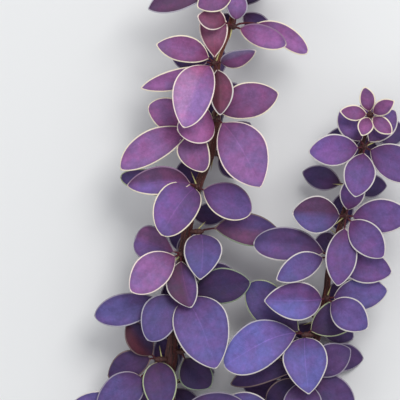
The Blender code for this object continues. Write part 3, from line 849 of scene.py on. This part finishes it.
# The spurs. Each is a very short side shoot of brown wood, wrapped in the dry bud scales of
# past years, one ring over the next, and ends in a small bud from which the leaf stalks come.
SCALE_STEP = 0.42 * MM  # length of one ring of scales
SCALE_FLARE = 0.16  # share of the radius by which its rim stands out
SCALE_STATIONS = ((0.05, 0), (0.8, 1), (0.97, 0.4))  # shares of a ring's length and of its flare
SCALE_UNEVENNESS = 0.09
SCALE_LUMPS = (1.5, 1.2)  # how close its lumps stand: round the spur, and along it per mm
SCALE_RELIEF = 0.08 * MM
SLIMNESS = 0.9  # of the scales against the solid spur
BUD_SLIMNESS = 0.8
BUD_STATIONS = (0.25, 0.5, 0.75, 0.92, 1.0)
SUNK = 0.9 * MM  # how deep a spur's foot goes into the bark
SPUR_ROUND = 14
BUD_LENGTH = 1.5 * MM
CELL_ROOM = 0.06  # share of a map's cell that is left free at each edge
SPUR_COLUMNS = 5  # cells side by side in the map


def spur_material():
    """Dry red-brown bud scales with paler rims."""
    made, tree, shader = new_material("bud_scales")
    place = node(tree, "Attribute", {"attribute_name": "bar_place"}).outputs["Vector"]
    fibre = speckle(tree, stretched(tree, place, 4.0, 0.8), 1.0, 4, 0.6)
    patch = speckle(tree, stretched(tree, place, 0.9, 0.9), 1.0, 2)
    dark, brown, rim = tone(38, 14, 15), tone(80, 34, 30), tone(120, 78, 58)
    colour = blend(tree, spread(tree, fibre, 0.35, 0.65, 0, 1), dark, brown)
    colour = blend(tree, spread(tree, patch, 0.54, 0.72, 0, 0.6), colour, rim)
    dull = spread(tree, fibre, 0.3, 0.7, 0.7, 0.55)
    finish_material(tree, shader, colour, dull, fibre, SCALE_RELIEF)
    return made


def add_spur(mesh, foot, hub, cell):
    """One spur: flared rings of scales up to the hub, then the bud."""
    run = (hub - foot).normalized()
    axes = facing(run)
    start = foot - run * SUNK
    length = (hub - start).length
    rings = max(round(length / SCALE_STEP), 2)
    stations = [(start, axes, 0, 0)]
    for i in range(rings):
        for share, flare in SCALE_STATIONS:
            t = (i + share) / rings
            radius = SPUR_ROOT_RADIUS + (SPUR_TIP_RADIUS - SPUR_ROOT_RADIUS) * t
            radius *= SLIMNESS * (1 + flare * SCALE_FLARE)
            stations.append((start + run * length * t, axes, radius, length * t / MM))
    for share in BUD_STATIONS:
        radius = SPUR_TIP_RADIUS * BUD_SLIMNESS * math.sqrt(1 - share**2)
        place = hub + run * BUD_LENGTH * share
        stations.append((place, axes, radius, (length + BUD_LENGTH * share) / MM))

    def relief(run, angle):
        """Scales that overlap unevenly round the spur."""
        round_it, along = SCALE_LUMPS
        spot = Vector((math.cos(angle) * round_it, math.sin(angle) * round_it, run * along))
        return SCALE_UNEVENNESS * noise.noise(spot)

    round_bar(mesh, stations, SPUR_ROUND, cell, relief)


def cells(count, columns):
    """Cells of a map of the unit square, row by row, with room round each."""
    rows = math.ceil(count / columns)
    return [
        (
            (i % columns + CELL_ROOM) / columns,
            (i // columns + CELL_ROOM) / rows,
            (i % columns + 1 - CELL_ROOM) / columns,
            (i // columns + 1 - CELL_ROOM) / rows,
        )
        for i in range(count)
    ]


bud_scales = spur_material()
for limb in limb_points:
    own = [cluster for cluster in clusters if cluster.limb == limb]
    mesh = bar_mesh()
    for cluster, cell in zip(own, cells(len(own), SPUR_COLUMNS)):
        add_spur(mesh, *ends[cluster.name], cell)
    piece(limb.split("_")[0] + "_spurs", mesh, "bark", [], bud_scales)

# The spines. A barberry leaf of the long shoot turns into one hard needle below each spur,
# 4.5 to 7 mm long, straw green with a browner point, slightly bowed.
SPINE_BOW = 0.06  # share of the length
SPINE_TAPER = 0.7  # power, lower for a spine that keeps its thickness longer
SPINE_BROWN_FOOT = (0.2, 1.2)  # mm from the spur
SPINE_BROWN_POINT = (3.4, 6.5)  # mm from the spur
SPINE_RELIEF = 0.03 * MM
SPINE_STATIONS = 7
SPINE_ROUND = 8
SPINE_COLUMNS = 6  # cells side by side in the map


def spine_material():
    """Straw-green spines, browner at the point and maroon at the foot."""
    made, tree, shader = new_material("spine")
    place = node(tree, "Attribute", {"attribute_name": "bar_place"}).outputs["Vector"]
    along = node(tree, "SeparateXYZ", {}, {0: place}).outputs["Z"]
    grain = speckle(tree, stretched(tree, place, 3.0, 0.5), 1.0, 3)
    straw, pale, brown, maroon = (
        tone(178, 170, 104), tone(206, 200, 138), tone(142, 92, 60), tone(120, 60, 52)
    )
    colour = blend(tree, spread(tree, grain, 0.35, 0.65, 0, 1), straw, pale)
    colour = blend(tree, spread(tree, along, *SPINE_BROWN_POINT, 0, 0.8), colour, brown)
    colour = blend(tree, spread(tree, along, *SPINE_BROWN_FOOT, 0.8, 0), colour, maroon)
    dull = spread(tree, grain, 0.3, 0.7, 0.5, 0.38)
    finish_material(tree, shader, colour, dull, grain, SPINE_RELIEF)
    return made


def add_spine(mesh, start, run, length, cell):
    """One bowed needle."""
    stations = []
    for i in range(SPINE_STATIONS):
        t = i / (SPINE_STATIONS - 1)
        bow = Vector((0, 0, SPINE_BOW * length * 4 * t * (t - 1)))
        radius = SPINE_RADIUS * (1 - t) ** SPINE_TAPER
        stations.append((start + run * length * t + bow, facing(run), radius, length * t / MM))
    round_bar(mesh, stations, SPINE_ROUND, cell)


needle = spine_material()
mesh = bar_mesh()
grown = [name for name, spine in spines.items() if spine]
for name, cell in zip(grown, cells(len(grown), SPINE_COLUMNS)):
    bearing, lift, length = spines[name]
    add_spine(mesh, *spine_run(*ends[name], bearing, lift), length, cell)
piece("spines", mesh, "bark", [], needle)

# The leaves. A barberry leaf is a thin, firm, hairless blade, blunt at its tip and narrowed
# into a short stalk, purple with a dull waxy bloom and a thin cream margin. The midrib lies
# in a shallow groove, and fine side veins run up from it.
BLADE_COLUMNS = 10  # faces across
BLADE_STEPS = 24  # faces along
ROW_CROWDING = 0.07  # how far the rows across crowd towards the blade's two ends
RIM_COLUMN = 0.6 * MM
RIM_WIDTH = 0.39  # mm
RIM_BLUR = 0.07  # mm
BLADE_MIDDLE = 0.3 * MM  # thickness at the midrib
BLADE_EDGE = 0.16 * MM
BLADE_TO_RIM = 0.75  # how fast the distance from the edge grows behind the tip
WAVE = 0.2 * MM
WAVES = 1.6  # along the blade
WAVE_SHIFT = 1.3  # of each half, in radians
BUCKLE = 0.24 * MM
BUCKLE_LENGTH = 5 * MM
OUTLINE_WOBBLE = 0.03
WOBBLES = 3.5  # along the blade
HALVES_APART = 5  # how far apart the noise is read for its two halves
GROOVE = 0.12 * MM
GROOVE_WIDTH = 0.45 * MM
STALK_RADIUS = 0.34 * MM
STALK_END = 0.06 * MM  # the cord's radius where it fades into the blade
STALK_ROUND = 8
STALK_REACH = 0.78  # share of the leaf's length that the stalk and the midrib's cord run
STALK_STATIONS = 14
STALK_STEP = 0.02  # share of the leaf's length by which its direction is found
STALK_SINKS = (0.55, 0.4)  # shares of the stalk's length: where it starts to sink, and how long
CORD_DEPTH = (0.75, 0.3)  # shares of its radius and of the blade's thickness
SLIM_FROM = 0.8  # share of the stalk's length
SLIMMING = 0.6  # power
STALK_PLACE = (3, 0, 9)  # mm from midrib, foot and rim, as the blade's material reads them

# A blade's map: its upper and lower skin side by side, then its stalk
BLADE_MAP = 0.92  # share of the map's width
STALK_MAP = (0.93, 0.99)
STALK_MAP_ROOM = 0.01
SKIN_MIDDLES = (0.25, 0.75)  # of the upper and the lower skin, shares of the blade's cell
SKIN_HALF = 0.2
SKIN_FOOT = 0.06
SKIN_LENGTH = 0.88
WALL_WIDTH = 0.025
WALL_ENDS = 0.04
END_SLACK = 0.001

# Blade tints. Dusk and shade are the purple darkened by painted shade, for leaves that lie low or deep
# among the others.
BLADE_TINTS = {
    "rose": tone(176, 124, 171),
    "orchid": tone(146, 98, 152),
    "lilac": tone(152, 108, 166),
    "amethyst": tone(122, 88, 152),
    "plum": tone(136, 86, 134),
    "rosewood": tone(136, 80, 108),
    "wine": tone(100, 64, 98),
    "garnet": tone(88, 40, 56),
    "heather": tone(108, 78, 134),
    "violet": tone(102, 86, 144),
    "blue_violet": tone(114, 102, 172),
    "dusk": tone(86, 64, 110),
    "shade": tone(64, 45, 86),
    # A pale bluish sheen: painted reflection on the part of a leaf that is turned to the light.
    "painted_sheen": tone(146, 142, 180),
}
# Margin tints. The darker ones, sage, pearl, mauve and bronze, go on leaves lying low or deep: their
# greener or greyer tone is the margin's own, their darkness painted shade.
RIM_TINTS = {
    "cream": tone(246, 232, 208),
    "blush": tone(250, 230, 220),
    "silver": tone(216, 208, 204),
    "sage": tone(142, 154, 130),
    "pearl": tone(182, 176, 188),
    "mauve": tone(156, 146, 162),
    "moss": tone(180, 188, 152),
    "bronze": tone(122, 102, 102),
    "faint": tone(142, 112, 140),
}
USUAL_RIMS = {
    "rose": "blush", "rosewood": "blush", "lilac": "blush", "orchid": "cream", "plum": "cream",
    "amethyst": "cream", "dusk": "mauve", "shade": "sage",
}
BASE_RED_AND_SHADE = (0.6, 0.34, 0.4)  # what is left of a tint's red, green and blue at the blade's foot: the leaf's own redder base, and painted shade near the hub
BASE_REACH = 0.27  # share of the blade's length
BASE_STRENGTH = 0.85
UPPER_SLACK = 0.01  # share of the thickness by which an upper vertex stands over the middle
TIP_SHARE = (0.97, 1.01, 1.06)
HALVES_BLEND = 2.8 * MM
RIB_FADE = 0.7  # power by which the pale midrib fades towards the tip
UNDERSIDE = tone(128, 106, 132)
STALK_MAROON = tone(76, 30, 38)
RIM_ROOT = tone(150, 112, 88)
RIM_ROOT_STRENGTH = 0.6
RIM_ROOT_REACH = 0.06  # share of the blade's length
LEAF_SEED = 23
LIGHT_SWAY = (0.92, 1.08)
CHARACTERS = 50  # range of the number that gives each leaf its own waves
UPPER_HEIGHT = 10  # mm along +Y over which a cluster counts as an upper one

WARM, COOL = (1.1, 0.95, 0.98, 1), (0.9, 1.03, 1.02, 1)
PALER = (1.7, 1.45, 1.5, 1)
PAINTED_RIM_SHADE = (0.4, 2.2)  # mm from the edge over which the blade is darkened by painted shade, to give it volume
MIDRIB = (0.06, 0.26)  # mm from the middle over which the pale midrib fades
VEIN_SLANT = 0.85
VEIN_WAVER = 5.0
VEIN_SPACING = 1.7  # mm
VEIN_WIDTH = 0.26  # mm
VEIN_STRENGTH = 0.16
VEIN_DEPTH = 3.0
ROUGH_EDGE = 0.2  # mm
BLADE_RELIEF = 0.06 * MM


def tinted(colour, shares):
    """A colour with its channels multiplied, and the fourth kept."""
    return tuple(c * s for c, s in zip(colour, shares)) + (colour[3],)


def mixed(a, b, share):
    """A colour between two others."""
    return tuple(p + (q - p) * share for p, q in zip(a, b))


def spread_grey(tree, value, low, high, to_low, to_high):
    """A value spread over a range, as a grey to multiply a colour by."""
    grey = spread(tree, value, low, high, to_low, to_high)
    return node(tree, "CombineColor", {}, {0: grey, 1: grey, 2: grey}).outputs[0]


def blade_material():
    """Purple blade with a blotchy bloom, pale veins, painted shade near its edge and a cream margin,
    by the leaf's tints.
    """
    made, tree, shader = new_material("barberry_blade")
    place = node(tree, "Attribute", {"attribute_name": "blade_place"}).outputs["Vector"]
    tints = node(tree, "Attribute", {"attribute_name": "blade_tint"})
    rim_tint = node(tree, "Attribute", {"attribute_name": "rim_tint"}).outputs["Color"]
    parts = node(tree, "SeparateXYZ", {}, {0: place})
    across = sum_of(tree, "ABSOLUTE", parts.outputs["X"], 0.0)
    along, rim = parts.outputs["Y"], parts.outputs["Z"]
    where = node(tree, "TexCoord").outputs["Object"]

    fine = speckle(tree, where, 1100, 4, 0.65)
    cloud = speckle(tree, where, 340, 3)
    patch = speckle(tree, where, 150, 3, 0.6)
    streak = speckle(tree, node(
        tree, "Mapping", {}, {"Vector": place, "Scale": (0.6, 0.14, 0.0)}
    ).outputs[0], 1.0, 3)
    colour = tints.outputs["Color"]
    for value, low, high in ((fine, 0.92, 1.08), (cloud, 0.9, 1.1), (streak, 0.95, 1.05)):
        colour = blend(tree, 1.0, colour, spread_grey(tree, value, 0.32, 0.68, low, high), "MULTIPLY")
    warm_or_cool = blend(tree, spread(tree, patch, 0.36, 0.64, 0, 1), WARM, COOL)
    colour = blend(tree, 1.0, colour, warm_or_cool, "MULTIPLY")
    # Painted shade: the blade darker near its margin, to give it volume.
    colour = blend(tree, 1.0, colour, spread_grey(tree, rim, *PAINTED_RIM_SHADE, 0.8, 1.03), "MULTIPLY")

    midrib = spread(tree, across, *MIDRIB, tints.outputs["Alpha"], 0)
    slope = sum_of(tree, "SUBTRACT", along, sum_of(tree, "MULTIPLY", across, VEIN_SLANT))
    bent = sum_of(tree, "MULTIPLY", patch, VEIN_WAVER)
    comb = sum_of(tree, "PINGPONG", sum_of(tree, "ADD", slope, bent), VEIN_SPACING)
    vein = spread(tree, comb, 0.0, VEIN_WIDTH, VEIN_STRENGTH, 0)
    pale = blend(tree, 1.0, colour, PALER, "MULTIPLY")
    colour = blend(tree, sum_of(tree, "MAXIMUM", midrib, vein), colour, pale)

    rough_edge = sum_of(tree, "MULTIPLY", sum_of(tree, "SUBTRACT", fine, 0.5), ROUGH_EDGE)
    edge = sum_of(tree, "ADD", rim, rough_edge)
    margin = spread(tree, edge, RIM_WIDTH - RIM_BLUR, RIM_WIDTH + RIM_BLUR, 1, 0)
    colour = blend(tree, margin, colour, rim_tint)
    height = sum_of(tree, "SUBTRACT", fine, sum_of(tree, "MULTIPLY", vein, VEIN_DEPTH))
    dull = spread(tree, cloud, 0.3, 0.7, 0.52, 0.68)
    finish_material(tree, shader, colour, dull, height, BLADE_RELIEF)
    shader.inputs["Specular IOR Level"].default_value = 0.22
    return made


def blade_point(leaf, along, side, character):
    """Point of a blade's middle surface with its wobbling outline, waves, buckles and grooved
    midrib, and its distance from the blade's edge."""
    half = leaf_half_width(leaf, along, side)
    sway = noise.noise(Vector((along * WOBBLES, math.copysign(HALVES_APART, side), character)))
    wider = half * OUTLINE_WOBBLE * sway
    point = leaf_point(leaf, along, side, wider)
    wave = math.sin(math.tau * (WAVES * along + character) + math.copysign(WAVE_SHIFT, side))
    spot = Vector((side * half, along * leaf.length * MM, 0)) / BUCKLE_LENGTH
    buckle = noise.noise(spot + Vector((0, 0, character)))
    groove = -GROOVE * math.exp(-(side * half / GROOVE_WIDTH) ** 2)
    point.z += WAVE * side**2 * wave + BUCKLE * (1 - side**2) * buckle + groove
    tip = (1 - along) * leaf.length * MM
    return point, min((1 - abs(side)) * (half + wider), BLADE_TO_RIM * tip + TIP_WIDTH / 6)


def add_blade(mesh, leaf, hub, halves, rim_tints, character, cell):
    """One blade: a grid shaped to the leaf's surface, thickened, thin at its margin. Halves
    are its left and right tints, and the rim's tints go left and right too."""
    grid = bmesh.ops.create_grid(mesh, x_segments=BLADE_COLUMNS, y_segments=BLADE_STEPS, size=1)
    start = leaf.stalk / leaf.length
    ring = mesh.verts.layers.int.get("spot")
    rows = BLADE_STEPS + 1
    middles = {}
    for vertex in grid["verts"]:
        i = round((vertex.co.x + 1) / 2 * BLADE_COLUMNS)
        j = round((vertex.co.y + 1) / 2 * BLADE_STEPS)
        t = j / BLADE_STEPS
        t -= ROW_CROWDING * math.sin(math.tau * t)
        along = start + (1 - start) * t
        half = leaf_half_width(leaf, along, 2 * i - BLADE_COLUMNS)
        inner = 1 - min(RIM_COLUMN / half, 0.5)
        if i in (0, BLADE_COLUMNS):
            side = -1 if i == 0 else 1
        else:
            side = inner * ((i - 1) / (BLADE_COLUMNS - 2) * 2 - 1)
        point, rim = blade_point(leaf, along, side, character)
        vertex.co = point
        vertex[ring] = i * rows + j
        middles[i * rows + j] = (point, along, side, rim)
    faces = list({face for vertex in grid["verts"] for face in vertex.link_faces})
    for face in faces:
        face.normal_update()
    normals = {}
    for vertex in grid["verts"]:
        vertex.normal_update()
        normals[vertex[ring]] = vertex.normal.copy()
    thick = bmesh.ops.solidify(mesh, geom=faces, thickness=-BLADE_MIDDLE)
    whole = set(grid["verts"]) | {v for v in thick["geom"] if isinstance(v, bmesh.types.BMVert)}
    places = mesh.verts.layers.float_vector.get("blade_place")
    tints = mesh.verts.layers.float_color.get("blade_tint")
    rims = mesh.verts.layers.float_color.get("rim_tint")
    chart = mesh.loops.layers.uv.get("OFBake")
    matrix = leaf_place(leaf, hub)
    left, low, right, high = cell
    charts = {}
    for vertex in whole:
        point, along, side, rim = middles[vertex[ring]]
        normal = normals[vertex[ring]]
        upper = (vertex.co - point).dot(normal) > UPPER_SLACK * BLADE_MIDDLE
        depth = BLADE_EDGE + (BLADE_MIDDLE - BLADE_EDGE) * min(1, rim / RIM_COLUMN)
        blade_along = (along - start) / (1 - start)
        vertex.co = matrix @ (point + normal * depth / 2 * (1 if upper else -1))
        half = leaf_half_width(leaf, along, side)
        vertex[places] = (side * half / MM, blade_along * (leaf.length - leaf.stalk), rim / MM)
        # The halves' tints: the leaf's own colour, partly painted light and shade where the fold turns
        # one half to the light and the other away.
        right_share = min(max(0.5 + (side - leaf.split) * half / HALVES_BLEND, 0), 1)
        own = mixed(*halves, right_share) if upper else UNDERSIDE
        own = mixed(own, tinted(own, TIP_SHARE), blade_along**2)
        # The blade's foot: redder, which is the leaf's own colour, and darker, which is painted shade
        # where the leaves crowd at the hub.
        foot = BASE_STRENGTH * math.exp(-(blade_along / BASE_REACH) ** 2)
        own = mixed(own, tinted(own, BASE_RED_AND_SHADE), foot)
        vertex[tints] = own[:3] + (leaf.rib * (1 - blade_along) ** RIB_FADE,)
        rim_share = min(max(0.5 + side * half / HALVES_BLEND, 0), 1)
        own_rim = mixed(*rim_tints, rim_share)
        rooted = RIM_ROOT_STRENGTH * math.exp(-blade_along / RIM_ROOT_REACH)
        vertex[rims] = mixed(own_rim, RIM_ROOT, rooted)
        u = SKIN_MIDDLES[0 if upper else 1] + SKIN_HALF * side
        charts[vertex] = (upper, u, SKIN_FOOT + SKIN_LENGTH * blade_along, side, blade_along)
    for face in {face for vertex in whole for face in vertex.link_faces}:
        face.smooth = True
        tops = [charts[loop.vert][0] for loop in face.loops]
        wall = any(tops) and not all(tops)
        for loop in face.loops:
            upper, u, v, side, share = charts[loop.vert]
            if wall and not upper:
                u = SKIN_MIDDLES[0] + SKIN_HALF * side
                u += WALL_WIDTH * side if abs(side) == 1 else 0
                v += WALL_ENDS if share > 1 - END_SLACK else -WALL_ENDS if share < END_SLACK else 0
            loop[chart].uv = (left + (right - left) * u, low + (high - low) * v)


def add_stalk(mesh, leaf, hub, character, cell):
    """A leaf's stalk, which runs on under the blade as the midrib's cord."""
    stations = []
    run = 0
    start = leaf.stalk / leaf.length
    sinks, sinking = (share * start for share in STALK_SINKS)
    slim_from = SLIM_FROM * start
    for i in range(STALK_STATIONS + 1):
        along = STALK_REACH * i / STALK_STATIONS
        here = blade_point(leaf, along, 0, character)[0]
        ahead = blade_point(leaf, along + STALK_STEP, 0, character)[0]
        under = min(max((along - sinks) / sinking, 0), 1)
        slim = min(max((along - slim_from) / (STALK_REACH - slim_from), 0), 1) ** SLIMMING
        radius = STALK_RADIUS + (STALK_END - STALK_RADIUS) * slim
        down = Vector((0, 0, -1)) * under * (CORD_DEPTH[0] * radius + CORD_DEPTH[1] * BLADE_MIDDLE)
        stations.append((here + down, facing(ahead - here), radius, run / MM))
        run += (ahead - here).length * STALK_REACH / STALK_STATIONS / STALK_STEP
    first = (*stations[0][:2], 0, 0)
    last = (*stations[-1][:2], 0, stations[-1][3])
    before = set(mesh.verts)
    round_bar(mesh, [first] + stations + [last], STALK_ROUND, cell)
    places = mesh.verts.layers.float_vector.get("blade_place")
    tints = mesh.verts.layers.float_color.get("blade_tint")
    rims = mesh.verts.layers.float_color.get("rim_tint")
    matrix = leaf_place(leaf, hub)
    for vertex in set(mesh.verts) - before:
        vertex.co = matrix @ vertex.co
        vertex[places] = STALK_PLACE
        vertex[tints] = STALK_MAROON[:3] + (0,)
        vertex[rims] = STALK_MAROON


def leaf_mesh():
    """An empty mesh that can hold blades and stalks."""
    mesh = bar_mesh()
    mesh.verts.layers.int.new("spot")
    mesh.verts.layers.float_vector.new("blade_place")
    mesh.verts.layers.float_color.new("blade_tint")
    mesh.verts.layers.float_color.new("rim_tint")
    return mesh


blade_skin = blade_material()
leaf_dice = random.Random(LEAF_SEED)
for cluster in clusters:
    mesh = leaf_mesh()
    leaves = settled[cluster.name]
    hub = ends[cluster.name][1]
    for number, leaf in enumerate(leaves):
        name = leaf.tint or cluster.tint
        # A leaf's lightness: its own tone, with painted shade and painted light for where it lies, and
        # a random sway of tone.
        light = leaf.light * leaf_dice.uniform(*LIGHT_SWAY)
        halves = [tinted(BLADE_TINTS[own], (light,) * 3) for own in (leaf.left or name, name)]
        low, high = number / len(leaves), (number + 1) / len(leaves)
        character = leaf_dice.uniform(0, CHARACTERS)
        rim = leaf.rim or USUAL_RIMS.get(name, "silver")
        rim_tints = [RIM_TINTS[own] for own in (leaf.left_rim or rim, rim)]
        left, right = STALK_MAP
        cell = (left, low + STALK_MAP_ROOM, right, high - STALK_MAP_ROOM)
        add_stalk(mesh, leaf, hub, character, cell)
        add_blade(mesh, leaf, hub, halves, rim_tints, character, (0, low, BLADE_MAP, high))
    if "back" in cluster.name:
        slot = "back_leaves"
    elif cluster.height > UPPER_HEIGHT:
        slot = "upper_leaves"
    else:
        slot = "lower_leaves"
    piece("leaves_" + cluster.name, mesh, slot, ["leaves_" + cluster.name], blade_skin)

# The studio: a pale floor under the branch, soft daylight from the upper right, and a camera
# straight above, framed as the photograph is.
PIXEL = 0.34 * MM
FRAME_PIXELS = 400
FRAME_CENTRE = Vector((-16.2 * MM, 7.5 * MM, 20 * MM))
CAMERA_HEIGHT = 1.5
FLOOR_SIDE = 6.0
FLOOR_GREY = (0.84, 0.84, 0.83, 1)
SKY_BLUE = (0.92, 0.95, 1.0, 1)
SKY_STRENGTH = 0.55
LIT_POINT = Vector((0, 0, 0.02))
LAMPS = (  # name, place in m, side in m, power in W
    ("key", Vector((0.3, 0.5, 0.85)), 0.5, 5.5),
    ("fill", Vector((-0.6, -0.3, 0.7)), 0.7, 1.2),
)

mesh = bmesh.new()
bmesh.ops.create_grid(mesh, x_segments=1, y_segments=1, size=FLOOR_SIDE / 2)
floor_data = bpy.data.meshes.new("floor")
mesh.to_mesh(floor_data)
mesh.free()
floor = bpy.data.objects.new("floor", floor_data)
bpy.context.scene.collection.objects.link(floor)
made, tree, shader = new_material("pale_floor")
shader.inputs["Base Color"].default_value = FLOOR_GREY
shader.inputs["Roughness"].default_value = 0.9
shader.inputs["Specular IOR Level"].default_value = 0.1
floor_data.materials.append(made)

world = bpy.data.worlds.new("studio")
bpy.context.scene.world = world
world.use_nodes = True
sky = world.node_tree.nodes["Background"]
sky.inputs["Color"].default_value = SKY_BLUE
sky.inputs["Strength"].default_value = SKY_STRENGTH

for name, place, side, power in LAMPS:
    light = bpy.data.lights.new(name, "AREA")
    light.size = side
    light.energy = power
    lamp = bpy.data.objects.new(name, light)
    lamp.location = place
    lamp.rotation_euler = (LIT_POINT - place).to_track_quat("-Z", "Y").to_euler()
    bpy.context.scene.collection.objects.link(lamp)

camera_data = bpy.data.cameras.new("camera")
camera_data.sensor_width = 36
camera_data.lens = camera_data.sensor_width * CAMERA_HEIGHT / (FRAME_PIXELS * PIXEL)
camera = bpy.data.objects.new("camera", camera_data)
camera.location = FRAME_CENTRE + Vector((0, 0, CAMERA_HEIGHT))
bpy.context.scene.collection.objects.link(camera)
bpy.context.scene.camera = camera
bpy.context.scene.view_settings.view_transform = "Standard"
